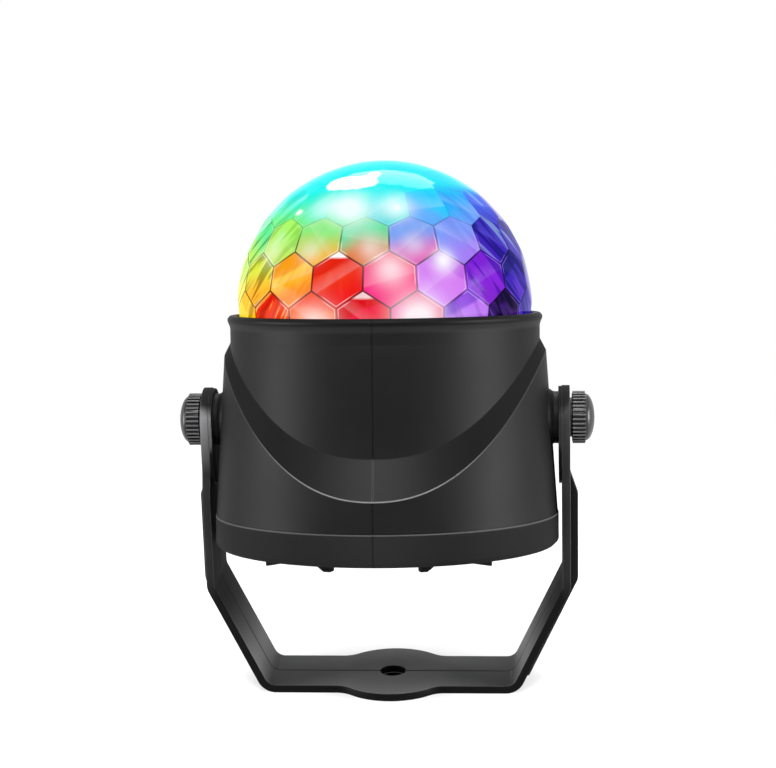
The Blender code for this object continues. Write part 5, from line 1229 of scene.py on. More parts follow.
# %% Make the dome
BORDER_SHARE = 0.905
CREASE_DEPTH = 0.06 * MM
SWELL_SHARE = 0.45
FACET_SEED = 7
dome_mesh = hollowed(grown(DOME_TREE, stand_in("dome_base", bmesh.new()), {
    "Facet Radius": FACET_RADIUS, "Rim Drop": RIM_DROP, "Border": BORDER_SHARE, "Crease": CREASE_DEPTH,
    "Swell": SWELL_SHARE, "Seed": FACET_SEED, "Finish": CRYSTAL_FINISH}))
for title, kind in (("upper_tone", "FLOAT_COLOR"), ("lower_tone", "FLOAT_COLOR"), ("white_tip", "FLOAT")):
    dome_mesh.attributes.new(title, kind, "FACE")
for index, item in enumerate(dome_mesh.attributes["facet_centre"].data):
    if item.vector.length > 0:
        upper_tone, lower_tone = facet_tones(item.vector)
        dome_mesh.attributes["white_tip"].data[index].value = glint_share(item.vector)
        dome_mesh.attributes["upper_tone"].data[index].color = rgb(*upper_tone)
        dome_mesh.attributes["lower_tone"].data[index].color = rgb(*lower_tone)
    item.vector = DOME_PLACE @ item.vector
dressed("crystal", dome_mesh, CRYSTAL_FINISH, "dome", ["crystal_dome"], DOME_PLACE, 4)

# %% [markdown]
# ## Bracket
#
# The bracket is one strap of 2 mm steel, bent four times and powder coated. It
# widens in the middle of its foot, where one screw can hold it to a wall, and ends
# in two round ears. It is lofted from ear to ear as one piece, its edges are
# rounded, and the ribs, the pads and the holes are joined and cut.

# %% Sizes of the bracket
STRAP = 2 * MM
HALF_WIDTH = 10 * MM
STRAP_EDGE = 0.4 * MM
EAR_RADIUS = 8 * MM
EAR_NECK = 20 * MM
ARM_OUTER = 45.9 * MM
ARM_INNER = ARM_OUTER - STRAP
FOOT_SPAN = 65 * MM
KNEE_DROP = 42 * MM
BEND_RADIUS = 4 * MM
DISC_RADIUS = 15.2 * MM
DISC_FILLET = 6 * MM
FOOT_HOLE = 3.25 * MM
EAR_HOLE = 2.3 * MM
HOLE_CHAMFER = 0.35 * MM
TOP_CHAMFER = 0.1 * MM
BRACKET_PLACE = Matrix.Translation((0, PIVOT.y, 0))


def left_of(vector):
    """The vector turned a quarter turn to its left."""
    return Vector((-vector.y, vector.x))


# %% The strap's middle line
def strap_corners():
    """Corners of the middle line, from the centre of the foot to the right ear."""
    foot_corner = Vector((FOOT_SPAN / 2, 0))
    knee_corner = Vector((ARM_OUTER, PIVOT.z - KNEE_DROP))
    slope = (knee_corner - foot_corner).normalized()
    low_point = foot_corner + left_of(slope) * STRAP / 2
    run_to_foot = (STRAP / 2 - low_point.y) / slope.y
    run_to_knee = (ARM_OUTER - STRAP / 2 - low_point.x) / slope.x
    return [Vector((0, STRAP / 2)), low_point + slope * run_to_foot, low_point + slope * run_to_knee,
            Vector((ARM_OUTER - STRAP / 2, PIVOT.z))]


def bend_stations(steps):
    """Points and directions through the two bends of the right half."""
    path = strap_corners()
    stations = []
    for before, corner, after in zip(path, path[1:], path[2:]):
        arriving = (corner - before).normalized()
        leaving = (after - corner).normalized()
        turn = math.atan2(arriving.cross(leaving), arriving.dot(leaving))
        reach = BEND_RADIUS * math.tan(abs(turn) / 2)
        side = math.copysign(BEND_RADIUS, turn)
        centre = corner - arriving * reach + left_of(arriving) * side
        for step in range(steps + 1):
            direction = Matrix.Rotation(turn * step / steps, 2) @ arriving
            stations.append((centre - left_of(direction) * side, direction, HALF_WIDTH))
    return stations


def disc_stations(steps):
    """Stations where the foot widens to its disc and narrows again."""
    fillet_x = math.sqrt((DISC_RADIUS + DISC_FILLET) ** 2 - (HALF_WIDTH + DISC_FILLET) ** 2)
    meeting = math.atan2(fillet_x, HALF_WIDTH + DISC_FILLET)
    widths = []
    for step in range(steps + 1):
        angle = meeting * step / steps
        widths.append((DISC_RADIUS * math.sin(angle), DISC_RADIUS * math.cos(angle)))
    for step in range(1, steps // 2 + 1):
        angle = meeting * (1 - 2 * step / steps)
        widths.append((fillet_x - DISC_FILLET * math.sin(angle),
                       HALF_WIDTH + DISC_FILLET * (1 - math.cos(angle))))
    return [(Vector((x, STRAP / 2)), Vector((1, 0)), width) for x, width in widths]


EAR_TOP_SHARE = 0.97


def ear_stations(steps):
    """Stations from the narrowing of the arm to the round top of the ear."""
    widths = []
    for step in range(steps + 1):
        ease = (1 - math.cos(math.pi * step / steps)) / 2
        widths.append((PIVOT.z - EAR_NECK + EAR_NECK / 2 * step / steps,
                       HALF_WIDTH + (EAR_RADIUS - HALF_WIDTH) * ease))
    for step in range(2 * steps + 1):
        angle = math.pi / 2 * EAR_TOP_SHARE * step / (2 * steps)
        widths.append((PIVOT.z + EAR_RADIUS * math.sin(angle), EAR_RADIUS * math.cos(angle)))
    return [(Vector((ARM_OUTER - STRAP / 2, height)), Vector((0, 1)), width) for height, width in widths]


RIGHT_HALF = disc_stations(16) + bend_stations(10) + ear_stations(8)
LEFT_HALF = []
for point, direction, width in reversed(RIGHT_HALF[1:]):
    LEFT_HALF.append((Vector((-point.x, point.y)), Vector((direction.x, -direction.y)), width))
print("the strap has", len(LEFT_HALF + RIGHT_HALF), "stations")

# %% Strap and groove
GROOVE_DEPTH_IN_MM = 0.4
GROOVE_HALF = 0.3 * MM
GROOVE_RISE_IN_MM = 0.1
GROOVE_END = 18 * MM
FLAT_ANGLE = 60


def strap_solid():
    """The bent strap with rounded edges."""
    rings = []
    for point, direction, width in LEFT_HALF + RIGHT_HALF:
        inward = left_of(direction) * STRAP / 2
        outer = point - inward
        inner = point + inward
        rings.append([(outer.x, -width, outer.y), (outer.x, width, outer.y),
                      (inner.x, width, inner.y), (inner.x, -width, inner.y)])
    return rounded(loft(rings), STRAP_EDGE, 3, FLAT_ANGLE)


def groove_cutter():
    """A thin wedge along the middle of the strap's inner face."""
    rings = []
    for point, direction, _ in LEFT_HALF + RIGHT_HALF:
        if point.y > PIVOT.z - GROOVE_END:
            continue
        inward = left_of(direction)
        face = point + inward * STRAP / 2
        bottom = face - inward * GROOVE_DEPTH_IN_MM * MM
        above = face + inward * GROOVE_RISE_IN_MM * MM
        rings.append([(bottom.x, 0, bottom.y), (above.x, GROOVE_HALF, above.y),
                      (above.x, -GROOVE_HALF, above.y)])
    return loft(rings)


print("the groove is", GROOVE_DEPTH_IN_MM, "mm deep")

# %% Ribs and pads
RIB_HEIGHT = 2 * MM
RIB_WIDTH = 1.8 * MM
RIB_EDGE = 0.35 * MM
RIB_SINK = 0.6 * MM
RIB_BOTTOM = 0.8 * MM
RIB_START = 13.5 * MM
RIB_FULL = 19.5 * MM
RIB_RADII = in_mm(0, 0, 2, 4, 0.4, 0, 0)
PAD_RADIUS = 7.8 * MM
PAD_DROP = 9 * MM
PAD_THICKNESS = 0.8 * MM
PAD_EDGE = 0.1 * MM
PAD_STEPS = 24


def rib_solid(sign):
    """The rib pressed out along the outside of one arm."""
    corners = strap_corners()
    slope = (corners[2] - corners[1]).normalized()
    outward = -left_of(slope)
    rib_x = ARM_OUTER + RIB_HEIGHT
    root_x = ARM_OUTER - RIB_SINK
    on_slope = corners[1] + outward * (STRAP / 2 + RIB_HEIGHT)
    root = corners[1] + outward * (STRAP / 2 - RIB_SINK)
    knee_run = (rib_x - on_slope.x) / slope.x
    end_run = (RIB_BOTTOM - on_slope.y) / slope.y
    root_knee_run = (root_x - root.x) / slope.x
    root_end_run = (RIB_BOTTOM + RIB_HEIGHT - root.y) / slope.y
    outline = [(root_x, PIVOT.z - RIB_START), (ARM_OUTER, PIVOT.z - RIB_START),
               (rib_x, PIVOT.z - RIB_FULL), on_slope + slope * knee_run,
               on_slope + slope * end_run, root + slope * root_end_run, root + slope * root_knee_run]
    shape = prism(softened(outline, RIB_RADII), -RIB_WIDTH / 2, RIB_WIDTH / 2)
    upright = Matrix.Scale(sign, 4, (1, 0, 0)) @ Matrix.Rotation(math.pi / 2, 4, "X")
    shape = moved(rounded(shape, RIB_EDGE, 2, FLAT_ANGLE), upright)
    bmesh.ops.recalc_face_normals(shape, faces=shape.faces)
    return shape


def pad_solid(sign):
    """The raised pad inside one ear."""
    outline = []
    for index in range(PAD_STEPS + 1):
        outline.append(polar(PAD_RADIUS, math.pi * index / PAD_STEPS))
    for index in range(PAD_STEPS + 1):
        x, y = polar(PAD_RADIUS, math.pi * (1 + index / PAD_STEPS))
        outline.append((x, y - PAD_DROP))
    shape = rounded(prism(outline, -PAD_THICKNESS, STRAP / 2), PAD_EDGE, 2, FLAT_ANGLE)
    turned = Matrix(((0, 0, sign, 0), (1, 0, 0, 0), (0, 1, 0, 0), (0, 0, 0, 1)))
    shape = moved(shape, Matrix.Translation((sign * ARM_INNER, 0, PIVOT.z)) @ turned)
    bmesh.ops.recalc_face_normals(shape, faces=shape.faces)
    return shape


print("the pads are", PAD_THICKNESS, "thick")


# %% Holes, and the bracket's mesh
def chamfered_hole(radius, low, high, low_chamfer, high_chamfer):
    """A cutter along Z for a hole that is wider at both faces."""
    return [(0, low - MM), (radius + low_chamfer + MM, low - MM), (radius + low_chamfer, low),
            (radius, low + low_chamfer), (radius, high - high_chamfer), (radius + high_chamfer, high),
            (radius + HOLE_CHAMFER + MM, high + MM), (0, high + MM)]


def ear_bore(sign):
    """A cutter for one ear's hole."""
    profile = chamfered_hole(EAR_HOLE, ARM_INNER - PAD_THICKNESS, ARM_OUTER, HOLE_CHAMFER, HOLE_CHAMFER)
    place = Matrix.Translation((0, 0, PIVOT.z)) @ Matrix.Rotation(sign * math.pi / 2, 4, "Y")
    return moved(lathe(profile, 36), place)


foot_bore = lathe(chamfered_hole(FOOT_HOLE, 0, STRAP, HOLE_CHAMFER, TOP_CHAMFER), 48)
bracket_mesh = combined(
    strap_solid(), [rib_solid(1), rib_solid(-1), pad_solid(1), pad_solid(-1)],
    [groove_cutter(), ear_bore(1), ear_bore(-1), foot_bore])
print("the bracket has", len(bracket_mesh.polygons), "faces")

# %% The powder coat: painted light and painted shade on the foot, the edges, the ribs and the ears
FOOT_PALE = in_mm(12, 29)
SLOPE_PALE = in_mm(31, 35)
SLOPE_HEIGHTS = in_mm(8, 25)
FOOT_FACE = in_mm(2.2, 2)
ARM_HEIGHTS = in_mm(25, 31)
RIB_FACE = in_mm(0.1, 0.3)
EAR_HEIGHTS = in_mm(58, 74)
EAR_SIDES = in_mm(-40, 40)
BRACKET_FINISH = grained("bracket_powder_coat", (28, 28, 29), (35, 35, 36), (84, 84, 85), (0.44, 0.54),
                         grain=1800.0, cloud=45.0, depth=0.25, width=0.35 * MM, specular=0.08)
tree = BRACKET_FINISH.node_tree
coordinates = tree.nodes["Texture Coordinate"].outputs
spot = split(tree, coordinates["Object"])
facing = split(tree, coordinates["Normal"])
sideways = unsigned(tree, spot[0])
on_foot = ranged(tree, sideways, *FOOT_PALE, 1.0, 0.0)
on_slope = times(tree, ranged(tree, sideways, *SLOPE_PALE), ranged(tree, spot[2], *SLOPE_HEIGHTS, 1.0, 0.0))
# Painted light: the foot and the low part of the slopes are made paler.
overlaid(BRACKET_FINISH, times(tree, plus(tree, on_foot, on_slope), 0.8), (86, 86, 87))
facing_front = ranged(tree, unsigned(tree, facing[1]), 0.75, 0.95)
foot_edge = times(tree, ranged(tree, spot[2], *FOOT_FACE), ranged(tree, unsigned(tree, facing[2]), 0.5, 0.2))
on_arm = ranged(tree, spot[2], *ARM_HEIGHTS, 1.0, 0.5)
# Painted shade: faces that look to the front or back, and the foot's edge faces, are made near black, less so
# high on the arms.
overlaid(BRACKET_FINISH, times(tree, largest(tree, facing_front, foot_edge), on_arm), (2, 2, 2))
off_strap = minus(tree, sideways, ARM_OUTER)
# Painted shade: the front and back faces of the ribs are made near black.
overlaid(BRACKET_FINISH, times(tree, ranged(tree, off_strap, *RIB_FACE), facing_front), (5, 5, 5))
painted_ear_highlight = times(tree, ranged(tree, spot[2], *EAR_HEIGHTS, 0.0, 0.85),
               ranged(tree, spot[0], *EAR_SIDES, 1.0, 0.1))
# Painted highlight: the front and back faces of the ears grow pale towards their tops, more on the left ear.
overlaid(BRACKET_FINISH, times(tree, facing_front, painted_ear_highlight), (104, 104, 105))
print(BRACKET_FINISH.name, "is pale on the foot and dark on its edges")

# %% The powder coat: shade under the pads, in the groove, behind the head and in the hole
PAD_SHADE = in_mm(-0.05, -0.15)
PAD_FOOT = in_mm(-5, -7)
GROOVE_WIDTHS = in_mm(0.22, 0.3)
GROOVE_TOP = in_mm(-17, -18)
BEHIND_HEIGHTS = in_mm(7, 22)
HOLE_SHADE = in_mm(0.2, 0.1)
above_pivot = minus(tree, spot[2], PIVOT.z)
under_pad = times(tree, ranged(tree, minus(tree, sideways, ARM_INNER), *PAD_SHADE),
                  ranged(tree, above_pivot, *PAD_FOOT), facing_front)
overlaid(BRACKET_FINISH, under_pad, (2, 2, 2))
off_middle = unsigned(tree, minus(tree, spot[1], PIVOT.y))
inward = minus(tree, times(tree, facing[2], 0.05), times(tree, spot[0], facing[0]))
in_groove = times(tree, ranged(tree, off_middle, *GROOVE_WIDTHS, 1.0, 0.0), ranged(tree, inward, 0.0, 0.002),
                  ranged(tree, above_pivot, *GROOVE_TOP))
overlaid(BRACKET_FINISH, times(tree, in_groove, 0.9), (4, 4, 4))
behind_head = times(tree, ranged(tree, inward, 0.02, 0.034), ranged(tree, spot[2], *BEHIND_HEIGHTS))
overlaid(BRACKET_FINISH, times(tree, behind_head, 0.7), (6, 6, 6))
dulled(BRACKET_FINISH, times(tree, behind_head, 0.4))
from_hole = vector_maths(tree, "SUBTRACT", coordinates["Object"], (0, PIVOT.y, 0))
hole_radius = length_of(tree, vector_maths(tree, "MULTIPLY", from_hole, (1, 1, 0)))
overlaid(BRACKET_FINISH, ranged(tree, minus(tree, hole_radius, FOOT_HOLE), *HOLE_SHADE), (1, 1, 1))
dressed("stand_bracket", bracket_mesh, BRACKET_FINISH, "bracket", ["bracket"],
        BRACKET_PLACE)

# %% [markdown]
# ## Thumb screws
#
# A knob has a smooth crowned cap and a ring of ridges to grip. The cap and the core
# are turned from one profile. The ridges repeat, so Geometry Nodes set one rounded
# bar round the core as often as asked.

# %% Sizes of a knob, along its own axis
KNOB_START = ARM_OUTER + 0.02 * MM
RING_START = KNOB_START + 0.5 * MM
RING_END = RING_START + 3.4 * MM
CAP_CROWN = 2.2 * MM
CAP_RADIUS = 5.8 * MM
CAP_STEPS = 14
KNOB_RADIUS = 6.55 * MM
NECK_OF_KNOB = 4.9 * MM
RIDGE_DEPTH = 0.45 * MM
RIDGE_RADIUS = 0.3 * MM
RIDGE_COUNT = 36
WASHER_RADIUS = 3.8 * MM + GAP
WASHER_END = KNOB_START + 0.8 * MM
STUD_BORE = 1.9 * MM + GAP
STUD_END = KNOB_START + 3.6 * MM
KNOB_RADII = in_mm(0, 0.1, 0.3, 0.15, 0.15, 0, 0, 0, 0, 0)


def knob_core():
    """Cap, ring, neck, washer recess and stud bore as one turned shape."""
    profile = []
    for step in range(CAP_STEPS + 1):
        angle = math.pi / 2 * step / CAP_STEPS
        profile.append((CAP_RADIUS * math.sin(angle), RING_END + CAP_CROWN * math.cos(angle)))
    valley = KNOB_RADIUS - RIDGE_DEPTH
    skirt = softened([(CAP_RADIUS, RING_END), (valley, RING_END), (valley, RING_START),
                      (NECK_OF_KNOB, RING_START), (NECK_OF_KNOB, KNOB_START), (WASHER_RADIUS, KNOB_START),
                      (WASHER_RADIUS, WASHER_END), (STUD_BORE, WASHER_END), (STUD_BORE, STUD_END),
                      (0, STUD_END)], KNOB_RADII, closed=False)
    return lathe(profile + skirt[1:], 72)


print("a knob is", round(RING_END + CAP_CROWN - KNOB_START, 5), "long")

# %% The tree that sets ridges round a knob
RIDGE_TREE, start, end = new_tree("grip_ridges", [
    ("Geometry", "Geometry", None), ("Ridges", "Int", RIDGE_COUNT), ("Circle", "Float", 0.006),
    ("Thickness", "Float", RIDGE_RADIUS), ("Length", "Float", 0.003), ("Middle", "Float", 0.0),
    ("Finish", "Material", None)])
tree = RIDGE_TREE
bar = add(tree, "GeometryNodeMeshCylinder", {
    "Vertices": 10, "Side Segments": 1, "Radius": start.outputs["Thickness"],
    "Depth": start.outputs["Length"]}).outputs[0]
ring = add(tree, "GeometryNodeMeshCircle", {
    "Vertices": start.outputs["Ridges"], "Radius": start.outputs["Circle"]}).outputs[0]
offset = add(tree, "ShaderNodeCombineXYZ", {2: start.outputs["Middle"]}).outputs[0]
raised = add(tree, "GeometryNodeSetPosition", {"Geometry": ring, "Offset": offset}).outputs[0]
bars = add(tree, "GeometryNodeInstanceOnPoints", {"Points": raised, "Instance": bar}).outputs[0]
both = add(tree, "GeometryNodeJoinGeometry")
for part in (start.outputs["Geometry"], bars):
    tree.links.new(part, both.inputs[0])
finished(RIDGE_TREE, both.outputs[0], start, end)

# %% The knob's finish: painted shade between the ridges, painted highlights on them and a painted sheen on the cap
VALLEY_RADII = in_mm(5.9, 6, 6.35, 6.15)
RIDGE_RADII = in_mm(6.36, 6.54)
CAP_RADII = in_mm(3.5, 5.4, 5.8, 5.6)
KNOB_FINISH = grained("knob_black", (10, 10, 11), (16, 16, 17), (84, 84, 86), (0.3, 0.4), grain=3000.0,
                      depth=0.1, width=0.2 * MM, specular=0.22)
tree = KNOB_FINISH.node_tree
from_pivot = vector_maths(tree, "SUBTRACT", tree.nodes["Texture Coordinate"].outputs["Object"], tuple(PIVOT))
reach = length_of(tree, vector_maths(tree, "MULTIPLY", from_pivot, (0, 1, 1)))
valley = times(tree, ranged(tree, reach, *VALLEY_RADII[:2]), ranged(tree, reach, *VALLEY_RADII[2:]))
# Painted shade in the valleys between the ridges.
overlaid(KNOB_FINISH, valley, (1, 1, 1))
# Painted highlight on the ridges.
overlaid(KNOB_FINISH, ranged(tree, reach, *RIDGE_RADII, 0.0, 0.85), (70, 70, 71))
painted_cap_sheen = times(tree, ranged(tree, reach, *CAP_RADII[:2], 0.0, 0.4), ranged(tree, reach, *CAP_RADII[2:]))
# Painted sheen on the cap.
overlaid(KNOB_FINISH, painted_cap_sheen, (50, 50, 52))
print(KNOB_FINISH.name, "has", len(tree.nodes), "nodes")

# %% Make both knobs
for side, sign in SIDES.items():
    knob_mesh = grown(RIDGE_TREE, stand_in("knob_base", knob_core()), {
        "Ridges": RIDGE_COUNT, "Circle": KNOB_RADIUS - RIDGE_RADIUS, "Thickness": RIDGE_RADIUS,
        "Length": RING_END - RING_START - RIDGE_RADIUS, "Middle": (RING_START + RING_END) / 2,
        "Finish": KNOB_FINISH})
    dressed("thumb_knob_" + side, knob_mesh, KNOB_FINISH, "screw_" + side, ["knob_" + side],
            HEAD_PLACE @ side_place(sign), 40)

# %% [markdown]
# ## Floor of the housing and its feet
#
# Underneath, a round floor closes the housing. Four arched rubber strips keep it off
# a table when the stand is folded away. They are lofted along an arc, thick at
# their ends and thin in the middle.

# %% The floor plate
PLATE_RADIUS = 39.5 * MM
PLATE_TOP = 2.3 * MM
PLATE_EDGE = 0.3 * MM
HEAD_RADIUS = 2.2 * MM
HEAD_HEIGHT = 1 * MM
BOARD_POST_CIRCLE = 25.5 * MM
BOARD_POST_RADIUS = 2.5 * MM
BOARD_POST_TOP = 5 * MM
POST_SPOTS = [around(POST_CIRCLE, sign * angle, 0) for sign in (1, -1) for angle in POST_ANGLES]
BOARD_SPOTS = [polar(BOARD_POST_CIRCLE, math.radians(angle)) for angle in (45, 225)]

plate_profile = softened([(0, PLATE_TOP), (PLATE_RADIUS, PLATE_TOP), (PLATE_RADIUS, GAP), (0, GAP)],
                         [0, PLATE_EDGE, PLATE_EDGE, 0], closed=False)
plate_joins = []
plate_cuts = []
for x, y, _ in POST_SPOTS:
    spot = Matrix.Translation((x, y, 0))
    plate_cuts.append(moved(rod(POST_BORE, -MM, PLATE_TOP + MM, 24), spot))
    plate_cuts.append(moved(rod(HEAD_RADIUS + GAP, -MM, HEAD_HEIGHT + GAP), spot))
for x, y in BOARD_SPOTS:
    spot = Matrix.Translation((x, y, 0))
    plate_joins.append(moved(rod(BOARD_POST_RADIUS, PLATE_TOP / 2, BOARD_POST_TOP), spot))
    plate_cuts.append(moved(rod(POST_BORE, PLATE_TOP, BOARD_POST_TOP + MM, 24), spot))
BASE_FINISH = grained("base_black", (22, 22, 23), (29, 29, 30), (60, 60, 62), (0.48, 0.62), grain=1500.0,
                      depth=0.35, specular=0.15)
dressed("floor_plate", combined(lathe(plate_profile, 96), plate_joins, plate_cuts), BASE_FINISH, "head",
        ["base_plate"])

# %% The rubber feet
FOOT_RADII = in_mm(35.9, 38.9)
FOOT_HEIGHTS = in_mm(0.3, 2.3)
FOOT_ANGLES = (math.radians(16), math.radians(44))
FOOT_STEPS = 24
FOOT_EDGE = 0.35 * MM
FOOT_CORNERS = in_mm(0, 0, 0.5, 0.5)
RUBBER_FINISH = grained("foot_rubber_black", (6, 6, 6), (11, 11, 11), (20, 20, 20), (0.75, 0.9),
                        grain=1200.0, depth=0.4, specular=0.05)


def foot_depth(angle):
    """Thickness of a foot at one angle. It is thick at both ends and thin between them."""
    nearest, farthest = [math.sin(limit) for limit in FOOT_ANGLES]
    outwards = (abs(math.sin(angle)) - nearest) / (farthest - nearest)
    swell = min(max((0.25 - outwards) / 0.15, (outwards - 0.55) / 0.45, 0), 1)
    return FOOT_HEIGHTS[0] + (FOOT_HEIGHTS[1] - FOOT_HEIGHTS[0]) * swell


def foot_solid(first, last):
    """One arched foot along an arc, a little smaller at its two end faces."""
    rings = []
    for step in range(-1, FOOT_STEPS + 2):
        angle = first + (last - first) * min(max(step / FOOT_STEPS, 0), 1)
        inset = FOOT_EDGE if step in (-1, FOOT_STEPS + 1) else 0
        bottom = inset - foot_depth(angle)
        outline = [(FOOT_RADII[0] + inset, 0), (FOOT_RADII[1] - inset, 0), (FOOT_RADII[1] - inset, bottom),
                   (FOOT_RADII[0] + inset, bottom)]
        rings.append([around(radius, angle, height) for radius, height in softened(outline, FOOT_CORNERS, 3)])
    return loft(rings)


FEET = {"front_right": (1, 0), "front_left": (-1, 0), "back_right": (1, 1), "back_left": (-1, 1)}
for title, (sign, back) in FEET.items():
    first, last = sorted(sign * (math.pi - angle if back else angle) for angle in FOOT_ANGLES)
    dressed("rubber_" + title, plain_mesh("foot", foot_solid(first, last)), RUBBER_FINISH, "head",
            ["foot_" + title])

# %% [markdown]
# ## Screws
#
# All small screws are one pattern: a round head with a cross recess, a shank and a
# thread that winds round it. Geometry Nodes draw the thread along a spiral and set
# the finished pattern on each place where a screw sits.

# %% The screw tree
SHANK_RADIUS = 0.9 * MM
THREADED_SHARE = 0.94
SCREW_TREE, start, end = new_tree("screw_set", [
    ("Geometry", "Geometry", None), ("Pattern", "Object", None), ("Shank Radius", "Float", SHANK_RADIUS),
    ("Length", "Float", 0.006), ("Pitch", "Float", 0.0006), ("Thread", "Float", 0.0002),
    ("Flip", "Bool", False), ("Finish", "Material", None)])
tree = SCREW_TREE
turns = maths(tree, "DIVIDE", start.outputs["Length"], start.outputs["Pitch"])
spiral = add(tree, "GeometryNodeCurveSpiral", {
    "Resolution": 10, "Rotations": turns, "Start Radius": start.outputs["Shank Radius"],
    "End Radius": start.outputs["Shank Radius"],
    "Height": times(tree, start.outputs["Length"], -THREADED_SHARE)}).outputs[0]
profile = add(tree, "GeometryNodeCurvePrimitiveCircle", {
    "Resolution": 3, "Radius": start.outputs["Thread"]}, mode="RADIUS").outputs[0]
thread = add(tree, "GeometryNodeCurveToMesh", {
    "Curve": spiral, "Profile Curve": profile, "Fill Caps": True}).outputs[0]
pattern = add(tree, "GeometryNodeObjectInfo", {"Object": start.outputs["Pattern"]}).outputs["Geometry"]
screw = add(tree, "GeometryNodeJoinGeometry")
for part in (pattern, thread):
    tree.links.new(part, screw.inputs[0])
half_turn = add(tree, "ShaderNodeCombineXYZ", {0: times(tree, start.outputs["Flip"], math.pi)}).outputs[0]
cloned = add(tree, "GeometryNodeInstanceOnPoints", {
    "Points": start.outputs["Geometry"], "Instance": screw.outputs[0], "Rotation": half_turn}).outputs[0]
finished(SCREW_TREE, cloned, start, end)

# %% One screw, and a set of them
STEEL_FINISH = brushed("steel_bright", (150, 150, 154), (196, 196, 200), (0.22, 0.36), (1, 1, 1), 900.0)
SCREW_RADII = in_mm(0, 0.4, 0.15, 0.1, 0, 0, 0)
TIP_LENGTH = 0.3 * MM
THREAD_PITCH = 0.55 * MM
THREAD_RADIUS = 0.16 * MM


def screw_pattern(head_radius, radius, length):
    """A domed head with a cross recess above z = 0, and a plain shank below."""
    profile = softened([(0, HEAD_HEIGHT), (head_radius * 0.8, HEAD_HEIGHT), (head_radius, 0), (radius, 0),
                        (radius, -length + TIP_LENGTH), (radius * 0.7, -length), (0, -length)],
                       SCREW_RADII, closed=False)
    arm = head_radius * 0.55
    blade = head_radius * 0.17
    floor = HEAD_HEIGHT * 0.35
    cuts = [block((-arm, -blade, floor), (arm, blade, HEAD_HEIGHT + MM)),
            block((-blade, -arm, floor), (blade, arm, HEAD_HEIGHT + MM))]
    mesh = combined(lathe(profile, 24), [], cuts)
    item = bpy.data.objects.new("screw_pattern", mesh)
    bpy.context.scene.collection.objects.link(item)
    return item


def screw_set(name, spots, length, replaced, body="head", flip=False, head_radius=HEAD_RADIUS,
              radius=SHANK_RADIUS):
    """Screws at a list of places in the head as one piece."""
    pattern = screw_pattern(head_radius, radius, length)
    points = bmesh.new()
    for spot in spots:
        points.verts.new(spot)
    mesh = grown(SCREW_TREE, stand_in(name + "_places", points), {
        "Pattern": pattern, "Shank Radius": radius, "Length": length, "Pitch": THREAD_PITCH,
        "Thread": THREAD_RADIUS, "Flip": flip, "Finish": STEEL_FINISH})
    bpy.data.objects.remove(pattern, do_unlink=True)
    dressed(name, mesh, STEEL_FINISH, body, replaced, HEAD_PLACE, 35)


print("a thread rises", THREAD_PITCH, "in a turn")

# %% Make the screws
ON_BOARD = 6.8 * MM
ON_DECK = 40 * MM
CASE_SEAT = 27 * MM
CASE_SPOTS = [in_mm(-10.58, -10.58), in_mm(10.58, 24.98)]
screw_set("floor_screws", [(x, y, HEAD_HEIGHT) for x, y, _ in POST_SPOTS], 6 * MM,
          [f"base_screw_{number}" for number in (1, 2, 3, 4)], flip=True)
screw_set("lamp_deck_screws", [(x, y, ON_DECK) for x, y, _ in POST_SPOTS], 6 * MM,
          [f"deck_screw_{number}" for number in (1, 2, 3, 4)])
screw_set("circuit_screws", [(x, y, ON_BOARD) for x, y in BOARD_SPOTS], 3.6 * MM,
          ["board_screw_1", "board_screw_2"])
screw_set("drive_screws", [(x, y, CASE_SEAT) for x, y in CASE_SPOTS], 11.8 * MM,
          ["gear_case_screw_1", "gear_case_screw_2"], flip=True, radius=0.8 * MM)
screw_set("spider_screw", [(0, 0, CARRIER_TOP)], 5 * MM, ["carrier_screw"], body="dome",
          head_radius=2.8 * MM)

# %% [markdown]
# ## Power inlet and button
#
# At the back the housing lets out two small parts. The inlet is a moulded block with
# a round nose, and a steel pin stands in its socket. The button is a turned cap with
# a flange that keeps it inside the wall.

# %% Make the inlet
WALL_FACE = taper_radius(CONTROL_HEIGHT) - BAND_STEP
SOCKET_RADIUS = 2.1 * MM
SOCKET_DEPTH = 9 * MM
SOCKET_FLOOR = WALL_FACE - SOCKET_DEPTH
SOCKET_CHAMFER = 0.3 * MM
INLET_HALF = 4.5 * MM
INLET_LENGTH = 12.5 * MM
INLET_HEIGHT = 6.6 * MM
INLET_EDGE = 0.3 * MM
NOSE_ROUND = 0.35 * MM
PIN_RADIUS = 0.6 * MM
PIN_ROUND = 0.3 * MM
inlet_block = rounded(block((-INLET_HALF, BACK_INSIDE - INLET_LENGTH, ON_BOARD),
                            (INLET_HALF, BACK_INSIDE, ON_BOARD + INLET_HEIGHT)), INLET_EDGE)
nose_profile = softened([(0, WALL_FACE), (NOSE_RADIUS, WALL_FACE), (NOSE_RADIUS, BACK_INSIDE - MM),
                         (0, BACK_INSIDE - MM)], [0, NOSE_ROUND, 0, 0], closed=False)
mouth = hole_with_chamfer(SOCKET_RADIUS, SOCKET_FLOOR, WALL_FACE, SOCKET_CHAMFER)
INLET_FINISH = grained("inlet_black", (16, 16, 17), (24, 24, 25), (74, 74, 76), (0.3, 0.42), depth=0.1,
                       width=0.2 * MM)
dressed("inlet", combined(inlet_block, [moved(lathe(nose_profile), back_place(0))],
                          [moved(mouth, back_place(0))]), INLET_FINISH, "head", ["power_socket"])
pin_profile = softened([(0, WALL_FACE - MM), (PIN_RADIUS, WALL_FACE - MM), (PIN_RADIUS, SOCKET_FLOOR - MM),
                        (0, SOCKET_FLOOR - MM)], [0, PIN_ROUND, 0, 0], closed=False)
dressed("inlet_pin", plain_mesh("pin", lathe(pin_profile, 20)), STEEL_FINISH, "head", [],
        HEAD_PLACE @ back_place(0))

